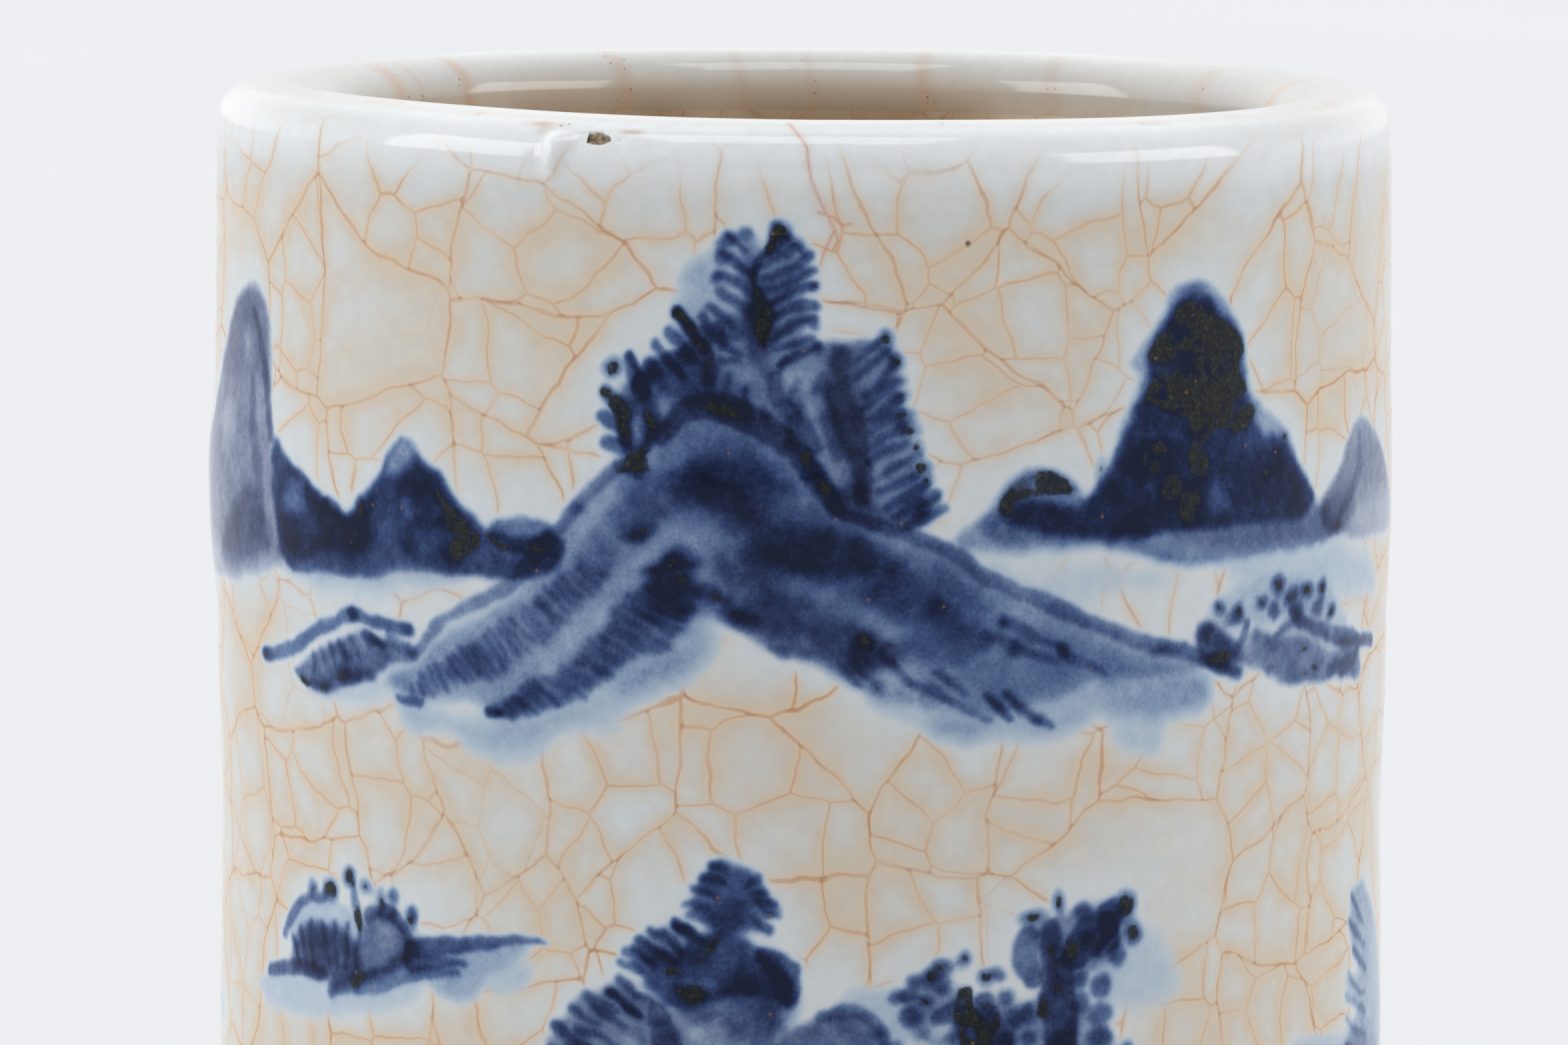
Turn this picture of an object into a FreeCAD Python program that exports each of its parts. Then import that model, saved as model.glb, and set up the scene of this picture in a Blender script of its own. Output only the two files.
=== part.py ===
import FreeCAD, Part
import os

import Sketcher

# A cylindrical porcelain brush pot, in millimetres. +Z is up and the origin is
# the centre of the foot, on the plane the pot rests on. -Y is the front.
#
# The pot is fired as one piece, so nothing on it moves or comes off. Its
# sub-parts are what the potter puts together: a thrown cylinder luted on to a
# base disc, a coil of clay pressed into the inside corner, the coats of glaze,
# and a bead of glaze that ran and set on the lip.

V = FreeCAD.Vector
os.makedirs("parts", exist_ok=True)
doc = FreeCAD.newDocument("BrushPot")

# ---------------------------------------------------------------- dimensions
sheet = doc.addObject("Spreadsheet::Sheet", "dims")

SIZES = [
    # overall
    ("crest_z", 125.0),        # top of the glazed lip
    ("body_rad", 49.5),        # unglazed outside, below the ridge
    ("glaze_th", 0.6),         # outer coat
    ("thin_th", 0.5),          # inner and under coats
    # foot and base disc
    ("slab_top", 9.0),
    ("recess_top", 3.5),
    ("recess_rad", 29.5),
    ("foot_in_rad", 30.5),
    ("foot_out_rad", 47.9),
    ("bevel_z", 1.7),
    ("glaze_foot_z", 2.6),     # where the outer coat stops
    ("foot_roll", 0.35),       # the coat's rolled lower edge
    # inside of the wall
    ("well_low_rad", 41.4),
    ("well_high_rad", 41.1),
    ("coil_w", 3.2),
    # outside profile: a waist, a low throwing ridge, then the neck
    ("waist_z", 44.0),
    ("waist_in", 0.20),
    ("ridge_low_z", 79.0),
    ("ridge_up_z", 81.9),
    ("ridge_up", 0.11),
    ("ridge_rise_z", 84.5),
    ("ridge_rise", 0.33),
    ("ridge_z", 91.0),
    ("ridge_out", 0.62),
    ("ridge_shoulder", 0.56),
    ("ridge_half", 3.2),
    ("ridge_fall_z", 98.0),
    ("ridge_fall", 0.36),
    ("ridge_down_z", 100.9),
    ("ridge_down", 0.17),
    ("ridge_top_z", 104.0),
    ("ridge_foot_out", 0.06),
    ("neck_z", 112.0),
    ("lip_z", 119.5),          # the lip's thick white coat begins here
    ("lip_in", 0.12),
    ("lip_round_z", 122.0),    # the lip's round starts here
    ("lip_th", 0.8),           # the lip's coat at the crest
    # the bead of glaze and the chip on the front of the lip
    ("bead_turn", -24.9),      # degrees round from the front
    ("bead_rad", 50.0),
    ("bead_z", 121.9),
    ("bead_wide", 1.05),
    ("bead_deep", 0.75),
    ("bead_tall", 1.45),
    ("chip_turn", -19.6),
    ("chip_rad", 49.45),
    ("chip_z", 122.95),
    ("chip_wide", 2.0),
    ("chip_deep", 0.7),
    ("chip_tall", 0.6),
]
for row, (word, number) in enumerate(SIZES, start=1):
    sheet.set("A%d" % row, word)
    sheet.set("B%d" % row, repr(number))
    sheet.setAlias("B%d" % row, word)
doc.recompute()


class Size:
    """A number and the spreadsheet expression that gives it."""

    def __init__(self, number, text):
        self.number = number
        self.text = text

    def _other(self, other):
        return other if isinstance(other, Size) else Size(float(other), repr(float(other)))

    def __add__(self, other):
        other = self._other(other)
        return Size(self.number + other.number, "(%s + %s)" % (self.text, other.text))

    def __sub__(self, other):
        other = self._other(other)
        return Size(self.number - other.number, "(%s - %s)" % (self.text, other.text))

    def __mul__(self, other):
        other = self._other(other)
        return Size(self.number * other.number, "(%s * %s)" % (self.text, other.text))

    def over(self, other):
        return Size(self.number / other.number, "(%s / %s)" % (self.text, other.text))


S = {word: Size(number, "dims.%s" % word) for word, number in SIZES}
ZERO = Size(0.0, "0")


# ------------------------------------------------------------------- helpers
def origin_plane(body, role):
    for feature in body.Origin.OriginFeatures:
        if getattr(feature, "Role", "") == role:
            return feature
    raise RuntimeError("no plane %s in %s" % (role, body.Name))


def section(body, label, path):
    """A closed half section on the body's XZ plane, fully dimensioned.

    path is a list of corners (radius, height). A corner with a third entry, a
    (radius, height) pair, is joined to the next one by an arc through that
    pair; otherwise by a straight line. Every corner, and every arc's middle,
    is held by dimensions that read the spreadsheet.
    """
    sketch = body.newObject("Sketcher::SketchObject", label)
    sketch.AttachmentSupport = [(origin_plane(body, "XZ_Plane"), "")]
    sketch.MapMode = "FlatFace"

    def at(corner):
        return V(corner[0].number, corner[1].number, 0)

    def hold(geometry, point, corner):
        for kind, axis, size in (("DistanceX", -2, corner[0]), ("DistanceY", -1, corner[1])):
            if abs(size.number) < 1e-9:
                sketch.addConstraint(Sketcher.Constraint("PointOnObject", geometry, point, axis))
            else:
                index = sketch.addConstraint(
                    Sketcher.Constraint(kind, -1, 1, geometry, point, size.number)
                )
                sketch.setExpression("Constraints[%d]" % index, size.text)

    count = len(path)
    sides = []
    for i, corner in enumerate(path):
        start, stop = at(corner), at(path[(i + 1) % count])
        if len(corner) == 3:
            middle = at(corner[2])
            index = sketch.addGeometry(Part.Arc(start, middle, stop), False)
            # the sketcher numbers an arc's ends anticlockwise
            first = sketch.getPoint(index, 1)
            turned_round = (first - start).Length > (first - stop).Length
            point = sketch.addGeometry(Part.Point(middle), True)
            if turned_round:
                sides.append((index, 2, 1, point, corner[2]))
            else:
                sides.append((index, 1, 2, point, corner[2]))
        else:
            index = sketch.addGeometry(Part.LineSegment(start, stop), False)
            sides.append((index, 1, 2, None, None))
    for i in range(count):
        this, following = sides[i], sides[(i + 1) % count]
        sketch.addConstraint(
            Sketcher.Constraint("Coincident", this[0], this[2], following[0], following[1])
        )
    for i, corner in enumerate(path):
        hold(sides[i][0], sides[i][1], corner)
        if sides[i][3] is not None:
            hold(sides[i][3], 1, sides[i][4])
            sketch.addConstraint(
                Sketcher.Constraint("PointOnObject", sides[i][3], 1, sides[i][0])
            )
    doc.recompute()
    return sketch


def turned(label, path):
    """A body turned about Z from a closed half section."""
    body = doc.addObject("PartDesign::Body", label + "_body")
    sketch = section(body, label + "_section", path)
    turn = body.newObject("PartDesign::Revolution", label + "_turn")
    turn.Profile = sketch
    turn.ReferenceAxis = (sketch, ["V_Axis"])
    turn.Angle = 360.0
    body.Tip = turn
    doc.recompute()
    if body.Shape.isNull() or not body.Shape.isValid() or body.Shape.Volume <= 0:
        raise RuntimeError("the section of %s does not turn into a solid" % label)
    return body


def outside(coat):
    """The outside from the disc's top up to the lip, coat thick over the clay."""
    r = S["body_rad"] + coat
    return [
        (r, S["slab_top"]),
        (r - S["waist_in"], S["waist_z"]),
        (r, S["ridge_low_z"]),
        (r + S["ridge_up"], S["ridge_up_z"]),
        (r + S["ridge_rise"], S["ridge_rise_z"]),
        (r + S["ridge_shoulder"], S["ridge_z"] - S["ridge_half"]),
        (r + S["ridge_out"], S["ridge_z"]),
        (r + S["ridge_shoulder"], S["ridge_z"] + S["ridge_half"]),
        (r + S["ridge_fall"], S["ridge_fall_z"]),
        (r + S["ridge_down"], S["ridge_down_z"]),
        (r + S["ridge_foot_out"], S["ridge_top_z"]),
        (r, S["neck_z"]),
        (r - S["lip_in"], S["lip_z"]),
    ]


def downwards(path):
    """The same corners and arcs, from the last to the first."""
    back = []
    for i in range(len(path) - 1, -1, -1):
        corner = path[i]
        if i > 0 and len(path[i - 1]) == 3:
            back.append((corner[0], corner[1], path[i - 1][2]))
        else:
            back.append((corner[0], corner[1]))
    return back


def ellipsoid(label, wide, deep, tall, turn, rad, z):
    """An ellipsoid at a radius and height, turned round Z from the front."""
    shape = doc.addObject("Part::Ellipsoid", label)
    # the primitive's Radius1 is along Z, Radius2 along X and Radius3 along Y
    shape.setExpression("Radius1", S[tall].text)
    shape.setExpression("Radius2", S[wide].text)
    shape.setExpression("Radius3", S[deep].text)
    x = "dims.%s * sin(dims.%s * 1 deg)" % (rad, turn)
    y = "0 - dims.%s * cos(dims.%s * 1 deg)" % (rad, turn)
    shape.Placement = FreeCAD.Placement(V(0, 0, 0), FreeCAD.Rotation(V(0, 0, 1), S[turn].number))
    shape.setExpression("Placement.Rotation.Angle", "dims.%s * 1 deg" % turn)
    shape.setExpression("Placement.Base.x", x)
    shape.setExpression("Placement.Base.y", y)
    shape.setExpression("Placement.Base.z", S[z].text)
    doc.recompute()
    return shape


def boolean(kind, label, base, tool):
    cut = doc.addObject("Part::" + kind, label)
    cut.Base = base
    cut.Tool = tool
    doc.recompute()
    return cut


NODES = []


def node(label, feature):
    feature.Label = label
    NODES.append((label, feature))
    return feature


# ------------------------------------------------------------------ the clay
# Thrown cylinder: the bare wall, with its lip rounded over.
lip_out = S["body_rad"] - S["lip_in"]
lip_mid = (lip_out + S["well_high_rad"]) * 0.5
clay_crest = S["crest_z"] - S["lip_th"]
wall_body = node(
    "wall_body",
    turned(
        "wall",
        [(S["well_low_rad"], S["slab_top"])]
        + outside(ZERO)
        + [
            (lip_out, S["lip_round_z"], (lip_mid, clay_crest)),
            (S["well_high_rad"], S["lip_round_z"]),
        ],
    ),
)

# Base disc: a broad flat foot ring round a shallow recess, with the outer edge
# bevelled where it was trimmed.
base_slab = node(
    "base_slab",
    turned(
        "base",
        [
            (ZERO, S["recess_top"]),
            (S["recess_rad"], S["recess_top"]),
            (S["foot_in_rad"], ZERO),
            (S["foot_out_rad"], ZERO),
            (S["body_rad"], S["bevel_z"]),
            (S["body_rad"], S["slab_top"]),
            (ZERO, S["slab_top"]),
        ],
    ),
)

# Coil of clay pressed into the corner between the wall and the disc. The wall
# leans in a little, and the coil's back follows it.
wall_lean = (S["well_high_rad"] - S["well_low_rad"]).over(S["lip_round_z"] - S["slab_top"])
coil_in = S["well_low_rad"] - S["coil_w"]
coil_top = S["slab_top"] + S["coil_w"]
coil_back = S["well_low_rad"] + wall_lean * S["coil_w"]
hollow = S["coil_w"] * 0.32
luting_coil = node(
    "luting_coil",
    turned(
        "coil",
        [
            (coil_in, S["slab_top"]),
            (S["well_low_rad"], S["slab_top"]),
            (coil_back, coil_top, (S["well_low_rad"] - hollow, S["slab_top"] + hollow)),
        ],
    ),
)

# ----------------------------------------------------------------- the glaze
# Outer coat: from a rolled edge above the foot up to the lip.
coat = S["glaze_th"]
glaze_rad = S["body_rad"] + coat
outer_glaze = node(
    "outer_glaze",
    turned(
        "outer",
        [
            (S["body_rad"], S["glaze_foot_z"]),
            (glaze_rad - S["foot_roll"], S["glaze_foot_z"]),
            (glaze_rad, S["glaze_foot_z"] + S["foot_roll"]),
        ]
        + outside(coat)
        + downwards(outside(ZERO)),
    ),
)

# Lip coat: the thick pale roll over the lip, down to the same height inside.
inner_lip = S["well_high_rad"] - S["thin_th"]
outer_lip = lip_out + coat
crest_mid = (outer_lip + inner_lip) * 0.5
inner_low = S["well_low_rad"] + wall_lean * (S["lip_z"] - S["slab_top"])
lip_blank = turned(
    "lip",
    [
        (outer_lip, S["lip_z"]),
        (outer_lip, S["lip_round_z"], (crest_mid, S["crest_z"])),
        (inner_lip, S["lip_round_z"]),
        (inner_low - S["thin_th"], S["lip_z"]),
        (inner_low, S["lip_z"]),
        (S["well_high_rad"], S["lip_round_z"], (lip_mid, clay_crest)),
        (lip_out, S["lip_round_z"]),
        (lip_out, S["lip_z"]),
    ],
)

# a small chip in the lip coat, right of the bead
chip = ellipsoid("chip", "chip_wide", "chip_deep", "chip_tall", "chip_turn", "chip_rad", "chip_z")
lip_glaze = node("lip_glaze", boolean("Cut", "lip_chipped", lip_blank, chip))

# Bead of glaze that ran and set on the lip's outer edge.
bead_blank = ellipsoid(
    "bead_blank", "bead_wide", "bead_deep", "bead_tall", "bead_turn", "bead_rad", "bead_z"
)
bead_trim = boolean("Cut", "bead_off_lip", bead_blank, lip_blank)
glaze_bead = node("glaze_bead", boolean("Cut", "bead_off_wall", bead_trim, wall_body))

# Inner coat: down the wall, over the coil and across the floor.
thin = S["thin_th"]
inner_glaze = node(
    "inner_glaze",
    turned(
        "inner",
        [
            (ZERO, S["slab_top"]),
            (coil_in, S["slab_top"], (S["well_low_rad"] - hollow, S["slab_top"] + hollow)),
            (coil_back, coil_top),
            (inner_low, S["lip_z"]),
            (inner_low - thin, S["lip_z"]),
            (
                coil_back - thin,
                coil_top + thin * 0.4,
                (S["well_low_rad"] - hollow - thin * 0.72, S["slab_top"] + hollow + thin * 0.72),
            ),
            (coil_in - thin * 0.4, S["slab_top"] + thin),
            (ZERO, S["slab_top"] + thin),
        ],
    ),
)

# Under coat: the ceiling of the recess, turning down on to its side.
side = (S["foot_in_rad"] - S["recess_rad"]).over(S["recess_top"])
drop = S["recess_top"] - thin * 4
side_rad = S["foot_in_rad"] - side * drop
base_glaze = node(
    "base_glaze",
    turned(
        "under",
        [
            (ZERO, S["recess_top"] - thin),
            (S["recess_rad"] - thin * 2, S["recess_top"] - thin),
            (side_rad - thin, drop),
            (side_rad, drop),
            (S["recess_rad"], S["recess_top"]),
            (ZERO, S["recess_top"]),
        ],
    ),
)

# -------------------------------------------------------------------- output
doc.recompute()
bad = [o.Label for o in doc.Objects if "Invalid" in o.State or "Error" in o.State]
if bad:
    raise RuntimeError("failed objects: %s" % ", ".join(bad))
for label, feature in NODES:
    shape = feature.Shape
    if shape.isNull() or not shape.isValid() or len(shape.Solids) != 1 or shape.Volume <= 0:
        raise RuntimeError("%s is not one valid solid" % label)
    shape.exportStep("parts/%s.step" % label)
    box = shape.BoundBox
    print(
        "%-12s %10.1f mm3  x %7.2f %7.2f  y %7.2f %7.2f  z %7.2f %7.2f"
        % (label, shape.Volume, box.XMin, box.XMax, box.YMin, box.YMax, box.ZMin, box.ZMax)
    )
for i, (label, feature) in enumerate(NODES):
    for other_label, other in NODES[i + 1:]:
        shared = feature.Shape.common(other.Shape).Volume
        if shared > 1e-4:
            print("overlap", label, other_label, round(shared, 5))
for sketch in doc.findObjects("Sketcher::SketchObject"):
    if not sketch.FullyConstrained:
        print("not fully constrained:", sketch.Label)
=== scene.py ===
import math

import bpy
import numpy as np
from mathutils import Matrix, Vector


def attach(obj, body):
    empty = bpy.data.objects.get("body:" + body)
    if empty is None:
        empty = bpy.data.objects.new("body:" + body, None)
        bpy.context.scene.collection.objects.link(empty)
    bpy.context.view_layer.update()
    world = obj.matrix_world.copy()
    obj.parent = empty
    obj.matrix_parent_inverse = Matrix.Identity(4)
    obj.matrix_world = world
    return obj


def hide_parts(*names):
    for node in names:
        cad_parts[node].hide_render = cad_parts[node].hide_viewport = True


# A straight-sided porcelain brush pot: crackled glaze over a landscape painted
# in cobalt, with a thick pale lip. Lengths in this script are in millimetres on
# the pot and are turned into metres where a mesh is made.
#
# Places on the wall are given unrolled: u is the distance round the wall from
# the front, to the right, and v is the distance down from the lip.

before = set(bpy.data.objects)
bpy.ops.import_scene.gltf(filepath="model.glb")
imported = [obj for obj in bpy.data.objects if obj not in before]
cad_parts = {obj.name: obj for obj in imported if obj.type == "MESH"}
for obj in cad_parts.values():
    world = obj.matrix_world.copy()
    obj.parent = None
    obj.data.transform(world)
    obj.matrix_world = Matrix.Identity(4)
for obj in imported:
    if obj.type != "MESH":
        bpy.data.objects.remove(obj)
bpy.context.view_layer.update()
MM = 0.001
TOP = 125.0
ROUND = 50.15  # the radius the wall is unrolled at
LAP = 2 * math.pi * ROUND

# --------------------------------------------------------------- the painting
# Brushwork as plain shapes. Each entry is one of
#   fill: depth of cobalt, violet share, heaped share, soft edge, mottle, outline
#   lift: how much is taken back out, soft edge, outline
#   line: depth, violet, heaped, (start, middle, end width), path
#   comb: depth, violet, heaped, width, number, tips, roots
#   dot:  depth, violet, heaped, u, v, half width, half height
PAINTING = {
    "tall_peak": [
        ('fill', 0.3, 1.0, 0, 0.55, 0.22, [(-58.12, 15.95),(-61.1, 17.29),(-64.55, 20.94),(-67.18, 24.65),(-71.05, 29.16),(-74.69, 32.68),(-74.67, 36.77),(-74.66, 39.85),(-74.68, 41.71),(-62.57, 40.57),(-53.58, 39.01),(-50.08, 37.78),(-51.19, 34.75),(-51.91, 30.88),(-52.82, 27.03),(-53.08, 23.12),(-53.26, 20.18),(-54.06, 17.69),(-55.63, 16.17)]),
        ('fill', 0.1, 1.0, 0.42, 1.1, 0.3, [(-58.12, 16.11),(-61.11, 17.59),(-64.06, 20.69),(-65.67, 23.07),(-59.2, 22.77),(-54.02, 23.21),(-53.17, 20.17),(-54.16, 17.7),(-55.63, 16.27)]),
        ('line', 0.3, 0.9, 0.25, (0.6, 1.2, 0.8), [(-57.0, 17.58),(-55.09, 19.96),(-54.01, 22.82),(-53.34, 25.12),(-52.57, 28.19)]),
        ('line', 0.16, 0.9, 0, (1.0, 2.0, 1.0), [(-56.86, 23.91),(-56.38, 27.43),(-54.4, 31.17),(-53.51, 35.03)]),
        ('lift', 0.35, 0.9, [(-59.13, 19.78),(-57.61, 19.62),(-57.1, 22.15),(-58.88, 22.34)]),
        ('lift', 0.3, 1.2, [(-64.78, 26.79),(-61.35, 26.0),(-61.07, 29.17),(-64.42, 30.37)]),
        ('lift', 0.45, 1.6, [(-74.69, 39.86),(-53.55, 37.42),(-53.58, 39.21),(-74.68, 42.12)]),
    ],
    "left_hills": [
        ('fill', 0.72, 0.22, 0, 0.42, 0.3, [(-52.04, 27.94),(-50.28, 28.89),(-48.4, 30.06),(-46.22, 31.04),(-44.19, 32.0),(-42.27, 32.78),(-40.68, 33.36),(-39.55, 31.93),(-38.11, 30.62),(-37.04, 28.98),(-36.27, 27.59),(-35.1, 26.43),(-34.01, 26.55),(-33.35, 27.41),(-32.75, 28.03),(-31.57, 28.52),(-30.31, 29.38),(-29.46, 30.66),(-28.67, 31.46),(-27.29, 32.13),(-26.54, 33.04),(-24.43, 33.37),(-20.57, 32.93),(-19.33, 33.44),(-20.16, 35.59),(-24.44, 36.92),(-28.27, 36.76),(-31.36, 36.71),(-35.17, 37.1),(-39.3, 37.84),(-43.59, 38.11),(-48.51, 38.38),(-50.07, 37.59),(-51.11, 34.74),(-51.75, 31.85)]),
        ('fill', 0.42, 0.1, 0, 0.4, 0.3, [(-26.31, 33.02),(-25.26, 32.12),(-23.55, 31.82),(-22.58, 31.6),(-21.58, 31.77),(-20.68, 32.18),(-20.36, 32.92),(-22.27, 33.8),(-24.87, 33.78)]),
        ('fill', 0.35, 0.15, 0, 0.5, 0.3, [(-51.62, 28.88),(-49.17, 29.79),(-44.85, 31.68),(-41.04, 33.24),(-39.26, 32.68),(-38.11, 31.4),(-39.29, 35.4),(-43.58, 36.64),(-48.49, 37.2),(-50.45, 35.65),(-51.03, 32.36)]),
        ('fill', 0.3, 0.15, 0, 0.6, 0.35, [(-34.33, 28.35),(-32.31, 28.57),(-30.36, 29.96),(-29.18, 31.6),(-27.11, 32.98),(-27.34, 34.73),(-30.39, 35.93),(-33.86, 35.66),(-34.88, 33.04)]),
        ('lift', 0.62, 0.7, [(-36.27, 27.65),(-35.1, 26.53),(-34.06, 26.64),(-33.35, 27.5),(-33.69, 28.69),(-35.38, 29.6),(-36.72, 29.33)]),
        ('lift', 0.5, 0.7, [(-49.79, 31.83),(-47.3, 31.36),(-46.24, 33.01),(-47.7, 33.96),(-49.82, 33.61)]),
        ('lift', 0.45, 0.7, [(-34.6, 30.89),(-33.7, 30.81),(-33.46, 32.72),(-34.36, 33.19)]),
        ('lift', 0.42, 1.0, [(-37.3, 33.46),(-35.94, 33.33),(-35.16, 35.58),(-37.04, 35.96)]),
        ('lift', 0.35, 1.2, [(-47.0, 36.43),(-36.49, 35.71),(-31.36, 35.63),(-31.37, 37.17),(-47.03, 38.8)]),
        ('fill', 0.12, 1.0, 0, 1.2, 0.2, [(-50.06, 36.6),(-36.49, 35.51),(-24.87, 34.74),(-24.88, 36.47),(-39.3, 37.74),(-49.29, 38.48)]),
        ('fill', 0.3, 0.2, 0.85, 0.35, 0.35, [(-31.21, 29.93),(-29.84, 31.27),(-28.72, 32.14),(-27.11, 32.83),(-26.93, 34.31),(-28.03, 35.36),(-29.91, 36.28),(-30.24, 35.34),(-29.38, 33.92),(-30.26, 33.03),(-31.84, 33.64),(-31.34, 32.54),(-30.37, 31.89)]),
        ('line', 0.3, 0.2, 0.85, (0.3, 0.75, 0.3), [(-39.11, 31.79),(-39.5, 33.48),(-40.4, 35.52)]),
        ('line', 0.3, 0.2, 0.85, (0.3, 0.6, 0.3), [(-41.05, 33.83),(-40.6, 34.76),(-40.1, 35.58)]),
        ('line', 0.3, 0.2, 0.7, (0.2, 0.5, 0.2), [(-50.29, 29.91),(-49.67, 31.42)]),
        ('line', 0.3, 0.4, 0.85, (0.5, 0.8, 0.4), [(-26.09, 33.58),(-24.43, 34.33),(-22.27, 34.15),(-20.68, 33.23),(-21.42, 34.7)]),
        ('line', 0.35, 0.2, 0, (0.6, 1.5, 0.6), [(-44.02, 32.18),(-42.27, 32.98),(-40.45, 34.55),(-39.29, 35.6)]),
        ('dot', 0.2, 0.3, 0.8, -44.2, 33.18, 0.26, 0.28),
        ('dot', 0.2, 0.3, 0.8, -44.56, 35.76, 0.71, 0.24),
        ('dot', 0.2, 0.3, 0.8, -25.53, 33.25, 0.7, 0.24),
    ],
    "hill": [
        ('fill', 0.27, 0.25, 0, 0.7, 0.22, [(-12.73, 27.65),(-11.51, 25.71),(-10.07, 24.13),(-8.39, 23.08),(-6.02, 23.33),(-3.66, 24.41),(-1.78, 25.81),(-0.02, 27.29),(1.39, 28.94),(2.57, 30.48),(5.29, 31.45),(8.86, 32.58),(12.01, 34.09),(13.95, 35.7),(17.73, 37.53),(21.65, 39.3),(25.75, 40.84),(29.22, 42.17),(33.22, 43.25),(34.85, 44.57),(28.66, 44.74),(24.68, 44.66),(20.38, 45.82),(15.27, 46.98),(10.35, 46.31),(10.17, 46.52),(5.2, 45.18),(2.3, 43.46),(-0.59, 42.12),(-3.7, 40.58),(-6.38, 39.28),(-8.86, 38.89),(-11.81, 39.67),(-13.89, 42.45),(-17.09, 45.04),(-20.99, 46.87),(-24.81, 48.02),(-26.26, 47.96),(-27.46, 47.15),(-31.95, 47.11),(-33.73, 47.29),(-36.52, 46.33),(-34.33, 44.83),(-31.64, 42.74),(-27.44, 40.21),(-24.01, 38.36),(-20.72, 34.42),(-20.54, 33.37),(-19.24, 31.5),(-17.2, 29.5),(-14.94, 27.54)]),
        ('line', 0.36, 0.3, 0, (1.0, 1.25, 0.9), [(-12.97, 27.9),(-14.94, 27.54),(-17.2, 29.5),(-19.11, 31.5),(-20.54, 33.25),(-22.6, 35.78),(-23.74, 37.1),(-25.04, 37.99),(-27.97, 39.35),(-30.77, 41.06),(-32.81, 42.74),(-33.86, 43.6)]),
        ('line', 0.38, 0.25, 0, (0.9, 1.3, 1.1), [(1.51, 28.82),(2.57, 30.48),(5.29, 31.45),(8.86, 32.7),(11.76, 33.96),(13.95, 35.7),(17.73, 37.53),(21.65, 39.3),(25.75, 40.77),(29.22, 42.12),(33.22, 43.25),(35.85, 44.48),(39.18, 45.81)]),
        ('fill', 0.2, 0.3, 0, 0.6, 0.5, [(-8.39, 26.57),(-10.79, 27.59),(-12.48, 28.35),(-14.45, 30.09),(-16.44, 32.08),(-17.58, 33.8),(-19.74, 35.94),(-22.22, 38.58),(-24.01, 39.83),(-26.1, 41.35),(-27.99, 42.64),(-29.65, 43.36),(-30.5, 44.46),(-32.53, 44.88),(-34.03, 46.41),(-33.73, 47.25),(-30.51, 46.29),(-28.55, 45.7),(-26.65, 44.85),(-24.54, 44.41),(-23.25, 42.84),(-21.23, 41.57),(-19.5, 40.44),(-17.8, 38.31),(-16.37, 36.66),(-12.73, 33.35),(-11.27, 31.63),(-9.34, 30.62),(-7.43, 30.1)]),
        ('comb', 0.2, 0.3, 0.0, 0.75, 26, [(-17.8, 35.16),(-20.72, 36.9),(-22.6, 38.83),(-24.01, 39.83),(-26.5, 41.5),(-27.99, 42.64),(-29.59, 43.42),(-31.21, 44.53),(-32.53, 44.88),(-34.18, 46.42)], [(-15.9, 36.19),(-18.28, 38.34),(-19.5, 40.33),(-21.23, 41.57),(-23.25, 42.84),(-24.67, 44.42),(-26.65, 44.85),(-28.55, 45.7),(-30.51, 46.33),(-33.58, 47.28)]),
        ('fill', 0.24, 0.3, 0, 0.6, 0.5, [(-10.8, 34.86),(-12.86, 36.96),(-14.72, 38.38),(-16.25, 40.48),(-17.81, 41.58),(-19.75, 43.39),(-20.24, 44.22),(-22.62, 44.83),(-23.51, 45.92),(-25.07, 47.18),(-26.34, 48.01),(-24.81, 48.11),(-23.26, 47.72),(-20.99, 46.92),(-18.54, 46.08),(-17.09, 45.04),(-14.72, 43.34),(-12.86, 42.24),(-11.02, 41.72),(-8.98, 39.07)]),
        ('comb', 0.2, 0.25, 0.0, 0.8, 24, [(-12.86, 36.96),(-14.96, 38.51),(-16.25, 40.48),(-17.81, 41.58),(-19.75, 43.39),(-20.37, 44.22),(-22.62, 44.9),(-23.64, 46.04),(-25.07, 47.18),(-26.34, 47.97)], [(-8.98, 38.84),(-11.02, 41.72),(-12.86, 42.24),(-14.72, 43.34),(-16.73, 44.91),(-18.29, 46.02),(-20.74, 46.9),(-22.25, 47.53),(-23.52, 47.85),(-25.33, 48.2)]),
        ('line', 0.5, 0.1, 0, (0.5, 0.8, 0.5), [(-35.74, 47.39),(-34.34, 47.63),(-33.2, 47.61)]),
        ('line', 0.5, 0.1, 0.2, (0.7, 0.9, 0.6), [(-26.26, 48.0),(-25.33, 48.02)]),
        ('fill', 0.3, 0.3, 0, 0.9, 0.35, [(-10.79, 29.01),(-9.34, 27.31),(-7.2, 26.43),(-4.6, 26.5),(-2.25, 27.42),(-0.13, 28.83),(1.75, 30.72),(3.64, 31.91),(5.77, 33.12),(7.91, 34.58),(5.78, 35.49),(-1.28, 35.46),(-4.58, 35.26),(-6.0, 32.44),(-7.91, 30.35),(-9.82, 29.93)]),
        ('fill', 0.36, 0.1, 0, 0.9, 0.3, [(-3.72, 32.52),(-0.62, 32.26),(3.37, 32.6),(6.72, 34.1),(8.86, 35.7),(10.69, 37.66),(10.59, 39.56),(9.23, 40.24),(7.42, 39.53),(5.62, 38.15),(3.83, 37.08),(1.61, 36.51),(-0.61, 35.95),(-2.83, 35.19),(-4.61, 33.87)]),
        ('fill', 0.35, 0.6, 0.1, 0.9, 0.3, [(-7.43, 28.21),(-4.59, 28.87),(-3.17, 31.69),(-4.59, 32.42),(-6.96, 30.57)]),
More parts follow.
